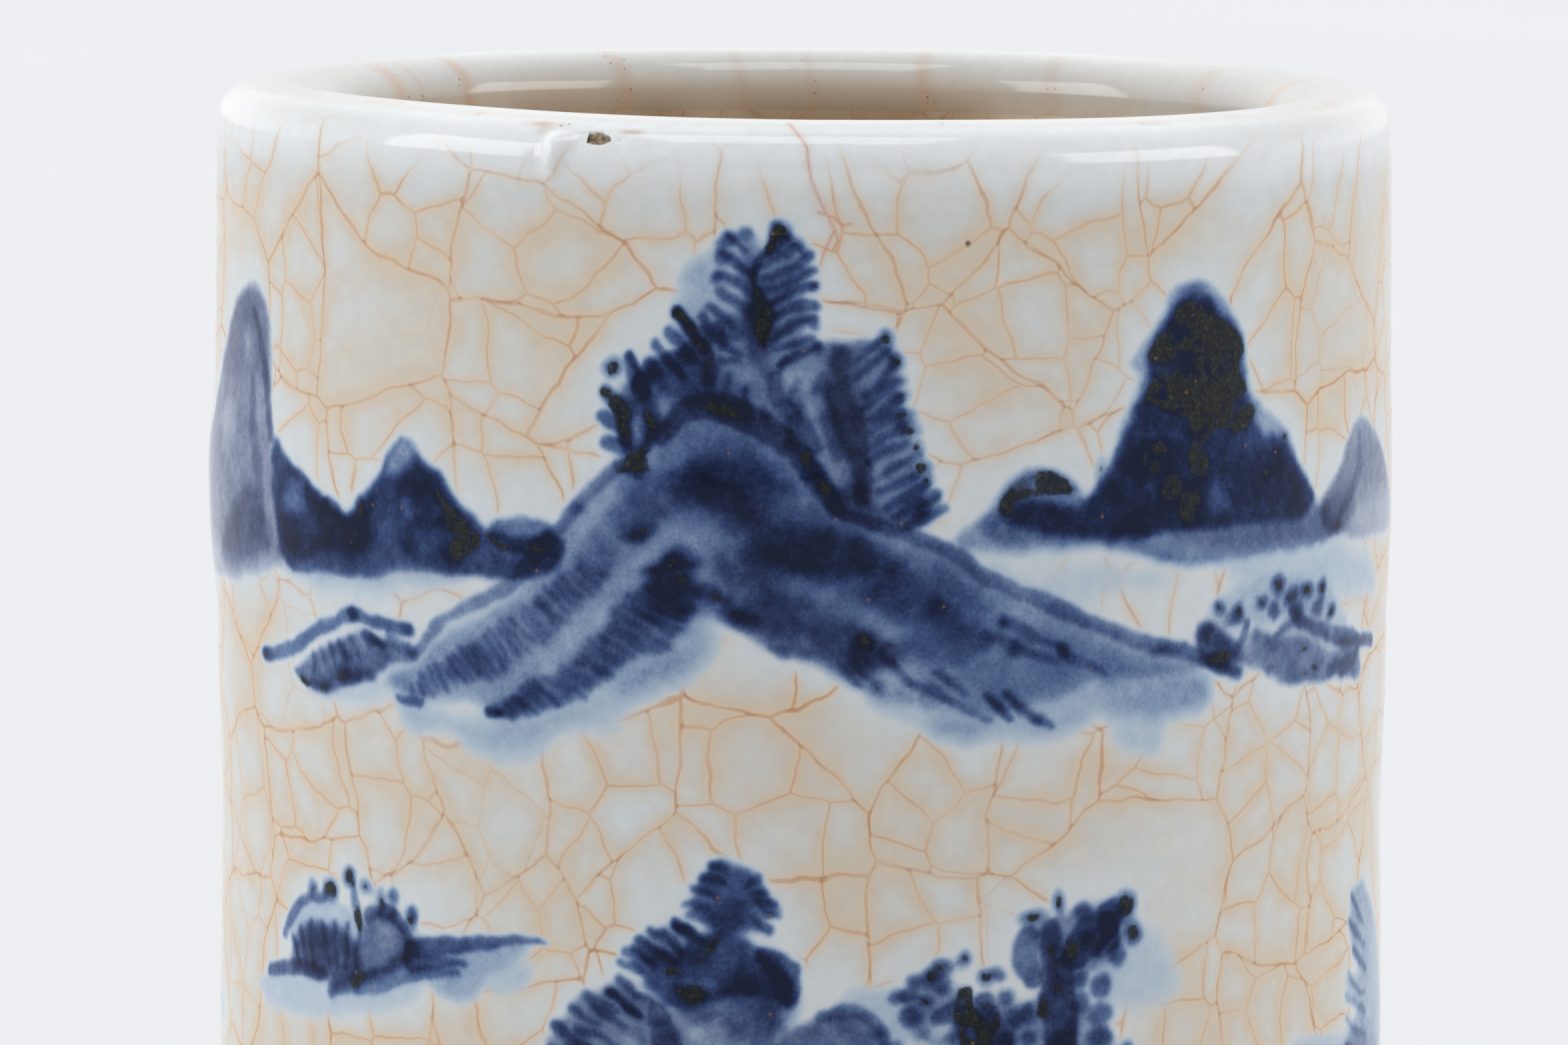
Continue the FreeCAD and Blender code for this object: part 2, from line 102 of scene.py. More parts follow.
        ('fill', 0.3, 0.6, 0, 1.0, 0.3, [(-6.61, 34.35),(-3.72, 34.75),(-1.94, 36.75),(0.73, 37.63),(-0.6, 39.2),(-3.7, 39.45),(-6.38, 37.93),(-7.28, 35.94)]),
        ('fill', 0.4, 0.1, 0, 0.85, 0.5, [(-12.97, 37.29),(-11.82, 35.63),(-11.08, 34.37),(-9.54, 33.71),(-8.36, 34.62),(-8.75, 36.42),(-7.28, 36.61),(-6.38, 37.71),(-4.15, 38.83),(-5.49, 39.53),(-7.28, 39.12),(-9.53, 39.18),(-11.36, 38.57)]),
        ('fill', 0.3, 0.4, 0.7, 0.4, 0.4, [(-10.22, 35.79),(-9.31, 35.54),(-8.18, 36.63),(-6.83, 36.82),(-6.27, 37.93),(-7.28, 38.22),(-8.63, 37.65),(-9.76, 36.9)]),
        ('fill', 0.35, 0.4, 0.35, 0.6, 0.4, [(-6.83, 37.94),(-5.04, 38.18),(-3.26, 39.0),(-3.7, 39.68),(-5.71, 39.26)]),
        ('dot', 0.4, 0.3, 0.85, -12.05, 35.59, 0.54, 0.33),
        ('dot', 0.4, 0.3, 0.85, -10.22, 34.79, 0.49, 0.38),
        ('dot', 0.4, 0.3, 0.85, -12.97, 32.71, 0.35, 0.19),
        ('dot', 0.4, 0.3, 0.85, -13.66, 32.78, 0.4, 0.19),
        ('dot', 0.4, 0.3, 0.85, -8.86, 34.97, 0.44, 0.19),
        ('dot', 0.3, 0.3, 0.8, -12.85, 32.21, 0.89, 0.3),
        ('dot', 0.3, 0.3, 0.8, -18.09, 30.73, 0.43, 0.25),
        ('dot', 0.3, 0.3, 0.8, -21.2, 34.0, 0.61, 0.46),
        ('dot', 0.3, 0.3, 0.8, -22.93, 34.23, 0.57, 0.2),
        ('dot', 0.3, 0.3, 0.8, -11.75, 35.33, 0.52, 0.2),
        ('dot', 0.3, 0.3, 0.8, -10.18, 34.8, 0.47, 0.46),
        ('fill', 0.42, 0.55, 0, 0.8, 0.35, [(-6.61, 39.06),(-3.71, 39.28),(-0.6, 39.25),(2.73, 39.47),(5.18, 40.17),(7.43, 42.52),(6.09, 42.87),(3.86, 43.59),(2.3, 43.01),(-0.59, 41.94),(-1.92, 41.79),(-4.15, 40.4)]),
        ('line', 0.3, 0.2, 0, (0.5, 1.2, 0.5), [(-2.81, 41.24),(-1.92, 41.68),(-1.3, 42.12)]),
        ('fill', 0.4, 0.2, 0, 0.7, 0.3, [(10.35, 37.54),(12.88, 39.52),(15.23, 41.08),(14.76, 41.85),(12.9, 41.48),(11.05, 40.74),(10.25, 39.78)]),
        ('fill', 0.26, 0.0, 0, 0.8, 0.25, [(7.87, 40.39),(10.59, 40.42),(13.6, 41.91),(11.75, 42.97),(8.33, 42.47)]),
        ('fill', 0.3, 0.6, 0.3, 0.6, 0.4, [(3.41, 42.12),(4.51, 40.56),(5.63, 40.8),(6.08, 41.93),(7.43, 41.73),(7.88, 42.41),(6.09, 43.05),(3.86, 43.03)]),
        ('dot', 0.25, 0.4, 0.75, -6.61, 37.89, 0.53, 0.29),
        ('dot', 0.25, 0.4, 0.75, 5.87, 44.51, 0.43, 0.43),
        ('dot', 0.25, 0.4, 0.75, 13.63, 39.71, 0.27, 0.29),
        ('dot', 0.25, 0.4, 0.75, 6.98, 41.5, 0.97, 0.29),
        ('dot', 0.25, 0.4, 0.75, 5.07, 41.02, 0.58, 0.72),
        ('line', 0.3, 0.25, 0, (0.6, 1.2, 0.4), [(6.98, 42.62),(9.02, 44.47)]),
        ('line', 0.3, 0.25, 0, (0.6, 1.2, 0.4), [(8.34, 44.0),(11.31, 45.89)]),
        ('line', 0.3, 0.25, 0, (0.6, 1.2, 0.4), [(10.38, 43.6),(12.69, 45.3)]),
        ('line', 0.3, 0.25, 0, (0.6, 1.2, 0.4), [(14.56, 45.51),(16.82, 47.52)]),
        ('line', 0.3, 0.25, 0, (0.6, 1.2, 0.4), [(16.09, 45.59),(19.31, 47.89)]),
        ('line', 0.3, 0.25, 0, (0.6, 1.2, 0.4), [(11.43, 45.84),(14.92, 47.56)]),
        ('line', 0.3, 0.25, 0, (0.6, 1.2, 0.4), [(3.85, 42.8),(5.76, 44.17)]),
        ('line', 0.3, 0.25, 0, (0.6, 1.2, 0.4), [(2.97, 43.02),(4.53, 44.49)]),
        ('line', 0.3, 0.25, 0, (0.6, 1.2, 0.4), [(6.08, 42.16),(7.43, 42.85)]),
        ('line', 0.32, 0.2, 0, (0.7, 1.05, 0.4), [(15.85, 39.59),(17.75, 40.45),(20.4, 41.86)]),
        ('line', 0.32, 0.2, 0, (0.7, 1.05, 0.4), [(14.23, 40.48),(16.95, 41.84),(20.68, 43.1)]),
        ('line', 0.32, 0.2, 0, (0.7, 1.05, 0.4), [(20.82, 42.01),(22.48, 43.19),(25.01, 44.4)]),
        ('line', 0.32, 0.2, 0, (0.7, 1.05, 0.4), [(10.82, 43.7),(11.8, 44.5),(12.91, 45.25)]),
        ('line', 0.32, 0.2, 0, (0.7, 1.05, 0.4), [(14.71, 45.47),(15.65, 46.64),(16.84, 47.59)]),
        ('line', 0.32, 0.2, 0, (0.7, 1.05, 0.4), [(16.22, 45.54),(18.32, 47.19),(20.46, 48.37)]),
        ('line', 0.32, 0.2, 0, (0.7, 1.05, 0.4), [(10.35, 44.88),(11.08, 45.5),(11.69, 46.12)]),
        ('dot', 0.4, 0.2, 0.1, 16.03, 39.89, 0.35, 0.41),
        ('dot', 0.4, 0.2, 0.1, 17.0, 41.99, 0.32, 0.41),
        ('dot', 0.4, 0.2, 0.1, 21.14, 42.31, 0.39, 0.41),
        ('fill', 0.17, 0.2, 0, 1.3, 0.3, [(-9.34, 28.16),(-7.74, 25.58),(-4.56, 25.31),(-0.88, 26.97),(1.76, 30.14),(5.46, 32.55),(9.74, 34.23),(13.58, 37.01),(15.82, 39.5),(12.49, 38.84),(7.62, 38.44),(3.38, 39.45),(-1.37, 39.71),(-4.01, 38.68),(-6.13, 37.65),(-6.93, 35.01),(-8.53, 32.39),(-10.42, 30.85)]),
        ('fill', 0.1, 0.1, 0, 1.1, 0.3, [(-7.73, 36.62),(-5.07, 34.97),(-1.38, 36.52),(2.31, 37.84),(6.56, 39.22),(4.97, 41.06),(0.74, 40.5),(-2.95, 39.99),(-6.66, 38.99)]),
        ('fill', 0.17, 0.0, 0, 1.6, 0.2, [(-35.27, 48.15),(-32.54, 47.75),(-29.67, 48.38),(-26.13, 48.52),(-22.25, 47.53),(-17.33, 45.39),(-14.49, 43.21),(-10.8, 41.82),(-8.8, 41.08),(-11.81, 39.89),(-8.86, 39.12),(-7.27, 41.77),(-8.85, 43.61),(-11.81, 45.07),(-14.6, 47.0),(-16.49, 48.45),(-14.96, 48.09),(-19.76, 48.6),(-22.76, 51.31),(-27.48, 51.26),(-30.24, 49.46),(-34.36, 49.88)]),
        ('fill', 0.09, 0.0, 0, 1.6, 0.2, [(-15.06, 42.28),(-11.81, 39.89),(-7.73, 39.31),(-6.83, 41.31),(-8.85, 43.16),(-11.81, 44.73),(-14.36, 45.18)]),
        ('fill', 0.16, 0.05, 0, 1.3, 0.2, [(10.29, 35.58),(17.74, 39.44),(25.77, 42.58),(34.2, 45.0),(35.73, 47.83),(32.66, 48.49),(26.97, 48.46),(24.71, 47.56),(21.21, 49.24),(17.82, 49.27),(12.81, 48.79),(10.36, 47.75)]),
        ('fill', 0.1, 0.0, 0, 1.2, 0.2, [(24.95, 44.2),(34.21, 45.24),(35.56, 47.57),(31.1, 48.1),(25.82, 47.65)]),
        ('fill', 0.1, 0.0, 0, 1.3, 0.2, [(25.84, 49.1),(30.5, 49.02),(30.53, 50.96),(27.0, 51.13)]),
        ('fill', 0.12, 0.0, 0, 1.2, 0.2, [(5.2, 45.29),(9.49, 46.73),(14.1, 48.02),(12.95, 49.56),(8.82, 47.84),(6.11, 46.65)]),
        ('fill', 0.1, 0.0, 0, 1.8, 0.3, [(37.6, 34.85),(47.38, 35.69),(59.3, 37.69),(63.8, 41.56),(50.83, 41.24),(40.93, 39.27),(36.1, 37.15)]),
        ('fill', 0.08, 0.0, 0, 1.8, 0.3, [(14.67, 34.65),(21.55, 34.71),(27.74, 35.92),(33.17, 37.32),(25.23, 38.43),(19.24, 38.6),(14.69, 37.32)]),
        ('fill', 0.08, 0.0, 0, 1.5, 0.3, [(-43.59, 37.58),(-33.97, 36.6),(-28.5, 36.77),(-32.56, 38.91),(-40.14, 39.66),(-45.48, 39.17)]),
        ('fill', 0.04, 0.0, 0, 1.5, 0.3, [(-64.71, 40.26),(-46.45, 38.18),(-43.61, 40.33),(-57.59, 42.38)]),
        ('fill', 0.3, 0.6, 0, 0.9, 0.3, [(-56.6, 32.74),(-53.77, 33.79),(-52.92, 37.58),(-64.68, 39.58),(-63.28, 36.67)]),
        ('fill', 0.14, 0.2, 0, 1.0, 0.4, [(-13.69, 25.65),(-8.81, 22.85),(-3.51, 25.13),(-1.66, 30.15),(-13.14, 31.74)]),
        ('fill', 0.24, 0.2, 0, 0.8, 0.4, [(-40.92, 33.74),(-35.41, 33.75),(-33.61, 36.02),(-40.95, 37.29)]),
    ],
    "tree": [
        ('fill', 0.34, 0.3, 0, 0.5, 0.3, [(-14.44, 20.85),(-13.22, 20.33),(-12.24, 19.35),(-10.31, 18.36),(-8.4, 16.9),(-7.21, 15.93),(-6.03, 15.21),(-4.62, 14.01),(-4.16, 11.19),(-2.76, 9.77),(-1.36, 9.53),(-0.42, 10.69),(0.05, 13.04),(0.06, 15.86),(-0.63, 17.74),(1.24, 17.5),(3.11, 17.27),(5.69, 17.1),(6.77, 18.71),(7.18, 21.07),(7.86, 23.44),(8.35, 25.82),(8.83, 27.72),(9.56, 29.63),(10.53, 30.84),(8.86, 31.99),(5.29, 31.45),(2.46, 30.13),(1.04, 28.59),(-0.84, 26.46),(-2.96, 24.83),(-5.08, 23.56),(-7.44, 22.72),(-9.35, 23.17),(-10.79, 24.27),(-12.0, 25.73),(-13.22, 26.72),(-14.45, 26.53),(-14.57, 24.64),(-14.82, 22.75)]),
        ('comb', 0.42, 0.08, 0.0, 1.05, 9, [(-1.24, 8.82),(-0.31, 9.75),(0.33, 10.69),(0.52, 11.75),(0.71, 13.08),(0.81, 14.49),(0.81, 15.97),(0.65, 17.03),(0.42, 17.97)], [(-2.88, 10.24),(-3.18, 11.41),(-3.34, 12.59),(-3.22, 13.76),(-2.86, 14.93),(-2.51, 15.99),(-2.23, 16.93),(-1.99, 17.98),(-1.8, 19.16)]),
        ('comb', 0.34, 0.15, 0.0, 0.95, 6, [(-6.04, 8.99),(-6.7, 10.75),(-7.27, 12.52),(-6.93, 14.16),(-8.12, 15.36),(-8.4, 16.19)], [(-4.35, 10.25),(-4.21, 12.13),(-4.04, 14.0),(-3.92, 15.23),(-5.04, 16.84),(-5.56, 18.02)]),
        ('fill', 0.3, 0.2, 0, 0.5, 0.3, [(-4.63, 9.55),(-3.7, 9.31),(-3.69, 14.0),(-3.91, 16.82),(-4.85, 16.84),(-4.98, 12.61)]),
        ('line', 0.5, 0.3, 0.9, (0.9, 0.7, 0.5), [(-2.02, 8.36),(-2.76, 9.77),(-3.69, 11.18),(-4.06, 12.36),(-3.73, 13.77)]),
        ('line', 0.5, 0.4, 0.95, (0.5, 1.7, 0.6), [(-3.73, 13.53),(-3.54, 14.7),(-3.26, 15.99),(-3.33, 17.52)]),
        ('fill', 0.4, 0.5, 0, 0.6, 0.3, [(-4.15, 14.01),(-2.51, 14.46),(-2.27, 16.81),(-2.97, 19.17),(-4.38, 19.18),(-4.62, 16.83)]),
        ('dot', 0.5, 0.1, 0.0, -5.97, 9.34, 0.61, 0.51),
        ('dot', 0.5, 0.1, 0.0, -4.59, 8.94, 0.36, 0.36),
        ('dot', 0.5, 0.1, 0.0, -6.51, 10.94, 0.36, 0.36),
        ('dot', 0.5, 0.1, 0.0, -7.1, 12.45, 0.31, 0.3),
        ('dot', 0.4, 0.1, 0.95, -1.83, 8.5, 0.66, 0.61),
        ('dot', 0.4, 0.1, 0.95, -1.24, 9.1, 0.41, 0.36),
        ('dot', 0.4, 0.1, 0.95, -0.61, 9.47, 0.36, 0.3),
        ('dot', 0.4, 0.1, 0.95, -0.0, 10.18, 0.2, 0.25),
        ('dot', 0.4, 0.1, 0.95, 0.19, 11.56, 0.25, 0.25),
        ('dot', 0.5, 0.0, 0.3, 0.67, 15.97, 0.23, 0.23),
        ('dot', 0.5, 0.0, 0.3, 0.98, 17.92, 0.2, 0.23),
        ('dot', 0.5, 0.0, 0.3, 0.71, 13.08, 0.2, 0.2),
        ('comb', 0.45, 0.1, 0.0, 1.0, 5, [(-10.31, 15.18),(-11.32, 16.5),(-12.0, 17.81),(-12.44, 19.36),(-13.71, 18.93)], [(-8.11, 18.07),(-8.64, 19.26),(-9.35, 20.22),(-10.31, 21.19),(-12.48, 21.25)]),
        ('comb', 0.4, 0.15, 0.0, 0.9, 5, [(-8.12, 15.36),(-7.45, 15.7),(-6.79, 16.28),(-6.69, 17.45),(-6.93, 18.75)], [(-7.45, 17.35),(-6.5, 17.1),(-5.32, 16.84),(-5.09, 17.78),(-5.32, 19.2)]),
        ('line', 0.5, 0.2, 0.85, (0.8, 1.2, 0.8), [(-10.07, 15.29),(-9.21, 16.09),(-8.76, 17.14),(-7.87, 18.3),(-7.64, 19.83),(-7.73, 20.89)]),
        ('fill', 0.5, 0.1, 0, 0.5, 0.3, [(-11.27, 18.85),(-9.35, 18.1),(-7.92, 19.24),(-7.44, 21.59),(-9.35, 22.58),(-11.27, 22.16),(-12.73, 22.44),(-13.71, 21.29),(-13.22, 20.33)]),
        ('dot', 0.45, 0.1, 0.95, -15.36, 19.58, 0.69, 0.68),
        ('line', 0.5, 0.1, 0.9, (1.3, 1.5, 1.0), [(-15.81, 21.49),(-14.94, 22.4),(-14.4, 23.45),(-14.4, 25.34)]),
        ('line', 0.5, 0.05, 0.0, (1.1, 1.2, 0.9), [(-16.11, 23.47),(-15.19, 24.07),(-14.45, 24.75)]),
        ('line', 0.5, 0.05, 0.0, (1.1, 1.2, 0.9), [(-15.89, 25.59),(-14.94, 25.88),(-13.95, 26.04)]),
        ('line', 0.5, 0.1, 0.0, (1.0, 1.2, 0.9), [(-13.83, 18.93),(-13.51, 19.99),(-12.73, 21.26)]),
        ('line', 0.45, 0.1, 0.0, (0.9, 1.1, 0.9), [(-12.24, 19.35),(-12.73, 20.31),(-13.22, 21.28)]),
        ('fill', 0.45, 0.15, 0.1, 0.5, 0.3, [(-14.69, 22.27),(-13.22, 21.75),(-12.0, 22.18),(-11.27, 23.58),(-11.75, 25.01),(-13.22, 26.01),(-14.45, 25.82)]),
        ('line', 0.4, 0.2, 0.9, (0.6, 1.3, 0.6), [(-12.61, 23.38),(-12.12, 24.43),(-12.48, 25.75),(-13.22, 26.48)]),
        ('fill', 0.3, 0.3, 0.88, 0.4, 0.35, [(-14.99, 26.79),(-13.71, 26.26),(-12.24, 26.57),(-12.12, 27.51),(-13.22, 28.02),(-14.94, 27.97)]),
        ('lift', 0.6, 0.5, [(-13.71, 23.42),(-13.17, 23.64),(-13.02, 25.29),(-13.76, 25.55)]),
        ('lift', 0.4, 0.5, [(-15.39, 20.76),(-14.69, 21.09),(-14.54, 21.79),(-15.14, 21.34)]),
        ('line', 0.6, 0.4, 0.25, (1.2, 2.2, 1.6), [(-11.27, 25.0),(-9.83, 23.3),(-7.92, 22.43),(-5.55, 22.97),(-2.96, 24.35),(-0.84, 25.76),(1.04, 28.11),(2.46, 30.25)]),
        ('line', 0.4, 0.4, 0.85, (0.8, 1.1, 0.7), [(-7.44, 22.42),(-6.02, 22.7),(-5.08, 23.2),(-4.25, 23.31)]),
        ('line', 0.4, 0.3, 0.9, (0.9, 1.2, 1.0), [(-1.2, 25.52),(0.1, 26.11),(1.04, 27.4),(1.63, 28.71),(2.1, 29.3)]),
        ('fill', 0.5, 0.5, 0, 0.8, 0.3, [(1.98, 29.06),(3.86, 28.83),(5.76, 30.27),(8.62, 31.74),(6.95, 32.19),(3.87, 31.32),(2.22, 30.48)]),
        ('fill', 0.22, 0.95, 0, 0.8, 0.35, [(1.71, 17.74),(4.05, 17.51),(4.77, 20.1),(5.02, 23.88),(5.27, 27.19),(5.52, 29.56),(3.63, 29.54),(2.44, 27.17),(1.96, 23.39),(1.71, 20.09)]),
        ('line', 0.4, 0.9, 0, (1.4, 2.6, 1.4), [(3.0, 18.21),(2.84, 21.04),(3.37, 23.87),(4.33, 27.18),(4.57, 29.31)]),
        ('line', 0.35, 0.3, 0, (1.0, 1.8, 1.0), [(1.48, 20.09),(1.25, 21.5),(1.96, 23.39),(2.44, 26.23)]),
        ('line', 0.35, 0.2, 0, (1.0, 1.6, 1.0), [(-2.5, 20.11),(-1.79, 22.22),(0.09, 24.34),(1.03, 25.75)]),
        ('comb', 0.36, 0.12, 0.0, 1.05, 13, [(5.81, 16.94),(6.76, 18.48),(7.17, 19.9),(7.42, 21.08),(7.66, 22.5),(7.91, 23.68),(8.22, 24.87),(8.7, 25.82),(9.07, 27.01),(9.36, 28.2),(9.92, 29.16),(10.72, 29.66),(11.02, 30.61)], [(3.82, 19.16),(4.3, 20.34),(4.54, 21.52),(4.78, 22.7),(4.9, 23.88),(4.91, 25.06),(4.91, 26.24),(5.15, 27.31),(5.39, 28.26),(5.87, 29.33),(6.47, 30.16),(7.42, 31.01),(8.38, 31.62)]),
        ('comb', 0.28, 0.3, 0.0, 0.9, 7, [(-1.22, 18.68),(-0.74, 20.09),(-0.62, 21.51),(-0.26, 23.39),(-1.32, 23.4),(-2.26, 22.93),(-6.03, 20.15)], [(-1.8, 20.1),(-1.21, 21.51),(-0.97, 22.92),(0.09, 24.81),(-1.31, 24.81),(-2.25, 24.35),(-6.26, 22.04)]),
        ('lift', 0.45, 0.6, [(0.5, 21.98),(1.25, 21.74),(1.54, 22.68),(1.02, 23.39),(0.44, 23.15)]),
        ('lift', 0.35, 0.6, [(-1.21, 20.1),(-0.16, 19.62),(0.08, 20.8),(-0.97, 21.51)]),
        ('lift', 0.4, 0.6, [(-5.32, 19.67),(-4.5, 19.42),(-4.26, 20.6),(-5.08, 21.08)]),
        ('lift', 0.35, 0.6, [(-6.5, 18.27),(-5.68, 18.02),(-5.55, 19.44),(-6.26, 19.68)]),
        ('lift', 0.3, 0.7, [(-12.24, 21.01),(-10.79, 20.49),(-10.31, 22.13),(-11.76, 22.65)]),
        ('lift', 0.45, 0.7, [(4.92, 27.66),(6.1, 27.2),(6.34, 28.39),(5.28, 28.85)]),
        ('dot', 0.4, 0.2, 0.97, 6.26, 16.92, 0.51, 0.61),
        ('dot', 0.4, 0.2, 0.97, 6.84, 18.52, 0.26, 0.41),
        ('dot', 0.4, 0.2, 0.97, 7.19, 19.0, 0.38, 0.43),
        ('dot', 0.4, 0.2, 0.97, 7.18, 20.46, 0.21, 0.25),
        ('dot', 0.4, 0.2, 0.97, 7.68, 20.42, 0.13, 0.15),
        ('dot', 0.4, 0.2, 0.97, 7.49, 21.6, 0.46, 0.36),
        ('dot', 0.4, 0.2, 0.97, 7.74, 23.25, 0.67, 0.46),
        ('dot', 0.4, 0.2, 0.97, 8.24, 24.3, 0.67, 0.46),
        ('dot', 0.4, 0.2, 0.97, 8.85, 25.73, 0.41, 0.43),
        ('dot', 0.4, 0.2, 0.97, 9.14, 27.3, 0.52, 0.48),
        ('dot', 0.4, 0.2, 0.97, 9.44, 28.3, 0.34, 0.36),
        ('line', 0.4, 0.1, 0.1, (0.6, 0.9, 0.6), [(10.58, 29.65),(9.81, 30.23),(8.85, 31.04)]),
        ('fill', 0.16, 0.2, 0, 0.9, 0.4, [(-9.36, 11.78),(-7.23, 10.43),(-5.12, 9.87),(-3.01, 14.84),(-2.99, 21.17),(-9.35, 21.8),(-10.16, 16.54)]),
    ],
    "right_hills": [
        ('fill', 0.28, 0.25, 0, 0.55, 0.25, [(12.09, 33.0),(13.92, 31.21),(15.03, 30.25),(16.14, 28.86),(17.65, 27.98),(19.44, 27.58),(20.88, 28.12),(22.14, 29.19),(23.03, 30.39),(24.11, 29.13),(25.32, 26.94),(26.7, 24.15),(27.82, 22.31),(28.38, 20.67),(27.27, 19.7),(28.35, 18.28),(29.74, 16.81),(30.68, 15.55),(31.27, 14.15),(33.43, 13.33),(35.54, 13.75),(36.9, 14.75),(37.9, 16.5),(39.32, 18.3),(39.54, 20.49),(40.13, 22.47),(42.46, 24.56),(44.52, 26.02),(46.3, 28.63),(48.21, 31.41),(49.36, 32.64),(52.29, 33.96),(52.33, 35.45),(47.76, 36.03),(41.82, 36.0),(35.72, 36.19),(30.33, 35.68),(27.39, 34.74),(24.02, 34.15),(20.28, 34.3),(15.18, 34.18),(12.47, 33.84)]),
        ('fill', 0.75, 0.12, 0, 0.6, 0.3, [(15.53, 30.98),(18.43, 29.79),(22.36, 30.59),(24.24, 29.14),(25.88, 26.49),(28.11, 23.04),(29.25, 20.48),(29.52, 18.11),(31.29, 15.83),(32.81, 14.37),(35.06, 14.63),(36.76, 16.42),(38.54, 18.96),(39.32, 22.65),(40.85, 25.44),(44.46, 27.23),(46.92, 29.92),(48.71, 32.2),(45.89, 33.74),(38.08, 33.44),(31.52, 33.24),(26.8, 33.38),(20.8, 33.01),(17.69, 32.14)]),
        ('fill', 0.25, 0.2, 0, 0.5, 0.3, [(13.93, 32.11),(15.66, 30.51),(18.44, 30.39),(22.37, 31.07),(28.52, 32.42),(28.53, 33.86),(22.39, 33.58),(16.43, 33.4)]),
        ('fill', 0.3, 0.2, 0.93, 0.4, 0.35, [(32.66, 14.84),(31.45, 16.31),(29.86, 17.46),(29.0, 19.27),(29.61, 20.98),(28.54, 22.35),(28.99, 23.1),(30.78, 23.45),(32.96, 24.57),(33.24, 26.51),(33.0, 27.94),(34.15, 29.84),(35.09, 27.62),(34.75, 26.39),(36.39, 25.31),(37.25, 25.74),(39.02, 25.72),(40.17, 25.14),(40.64, 24.21),(39.5, 22.18),(39.33, 18.78),(37.91, 16.87),(35.24, 15.6)]),
        ('fill', 0.2, 0.2, 0.9, 0.4, 0.3, [(18.21, 27.95),(19.7, 27.54),(21.28, 28.34),(22.41, 29.64),(20.5, 29.65),(18.18, 29.66),(16.71, 30.31),(15.79, 31.35),(15.16, 30.78),(16.2, 29.06)]),
        ('fill', 0.2, 0.2, 0.6, 0.5, 0.5, [(26.99, 25.13),(28.41, 23.78),(29.03, 26.21),(28.47, 28.57),(26.74, 27.98)]),
        ('dot', 0.2, 0.2, 0.85, 24.2, 27.9, 0.4, 0.71),
        ('dot', 0.2, 0.2, 0.85, 30.07, 26.64, 1.04, 0.66),
        ('dot', 0.2, 0.2, 0.85, 29.64, 28.17, 0.79, 0.66),
        ('dot', 0.2, 0.2, 0.85, 42.08, 29.44, 0.53, 0.46),
        ('dot', 0.2, 0.2, 0.85, 44.45, 26.86, 0.48, 0.46),
        ('dot', 0.2, 0.2, 0.85, 53.18, 35.05, 0.83, 0.56),
        ('dot', 0.2, 0.2, 0.85, 33.44, 13.81, 0.84, 0.23),
        ('dot', 0.3, 0.4, 0.8, 31.17, 29.72, 1.25, 1.01),
        ('dot', 0.3, 0.4, 0.8, 33.05, 31.32, 1.28, 1.52),
        ('lift', 0.35, 0.6, [(31.31, 29.01),(32.39, 29.1),(32.41, 30.78),(31.48, 30.71)]),
        ('lift', 0.4, 0.8, [(34.96, 30.02),(37.33, 30.22),(37.36, 32.17),(35.32, 31.99)]),
        ('lift', 0.35, 0.8, [(41.61, 25.27),(43.6, 25.69),(44.04, 27.19),(42.03, 27.0)]),
        ('fill', 0.2, 0.9, 0, 0.9, 0.25, [(31.52, 33.73),(38.08, 33.69),(45.89, 33.74),(51.15, 32.34),(56.61, 33.72),(53.48, 35.46),(45.94, 35.75),(36.38, 35.11)]),
        ('fill', 0.14, 0.0, 0, 0.8, 0.2, [(27.96, 34.3),(30.32, 34.72),(34.71, 35.32),(36.73, 35.75),(35.72, 36.26),(30.33, 35.73)]),
        ('fill', 0.3, 0.92, 0, 0.55, 0.22, [(50.12, 32.97),(53.32, 30.36),(55.84, 27.67),(58.52, 26.67),(61.26, 27.33),(65.46, 30.29),(68.56, 33.2),(72.27, 37.0),(62.58, 36.78),(53.5, 35.88),(51.22, 35.07)]),
        ('line', 0.16, 0.9, 0.2, (0.6, 1.6, 0.6), [(58.19, 27.93),(57.57, 30.85),(54.63, 33.49),(53.18, 35.3)]),
        ('lift', 0.4, 1.2, [(58.82, 33.49),(69.91, 34.39),(70.46, 37.78),(56.7, 35.98)]),
    ],
    "clump": [
        ('fill', 0.42, 0.5, 0, 0.45, 0.4, [(34.31, 41.36),(35.29, 40.92),(37.88, 42.45),(39.32, 43.45),(41.17, 42.19),(43.14, 43.02),(46.08, 41.89),(49.88, 43.04),(55.01, 44.46),(63.13, 45.85),(59.39, 46.12),(59.09, 48.47),(52.71, 47.74),(46.65, 47.43),(43.21, 46.22),(39.72, 45.13),(36.19, 44.76),(34.35, 43.67)]),
        ('line', 0.42, 0.4, 0, (1.0, 1.5, 1.0), [(46.06, 41.27),(47.91, 42.35),(52.59, 43.81),(58.55, 45.3),(63.13, 45.96)]),
        ('line', 0.3, 0.4, 0, (1.2, 1.8, 0.8), [(52.68, 46.94),(56.44, 47.21),(58.59, 46.26)]),
        ('lift', 0.6, 0.45, [(44.6, 43.43),(46.09, 42.43),(48.4, 42.71),(52.61, 44.44),(55.72, 46.11),(53.22, 45.57),(49.41, 44.02),(46.11, 43.37)]),
        ('lift', 0.4, 0.4, [(39.69, 43.37),(40.87, 42.52),(41.39, 43.8),(40.08, 44.39)]),
        ('fill', 0.2, 0.4, 0.9, 0.35, 0.4, [(34.96, 40.99),(36.3, 41.36),(37.95, 42.94),(36.5, 43.09),(34.98, 42.45)]),
        ('dot', 0.3, 0.4, 0.9, 36.86, 44.1, 1.64, 0.66),
        ('dot', 0.3, 0.4, 0.9, 31.03, 42.76, 1.12, 0.25),
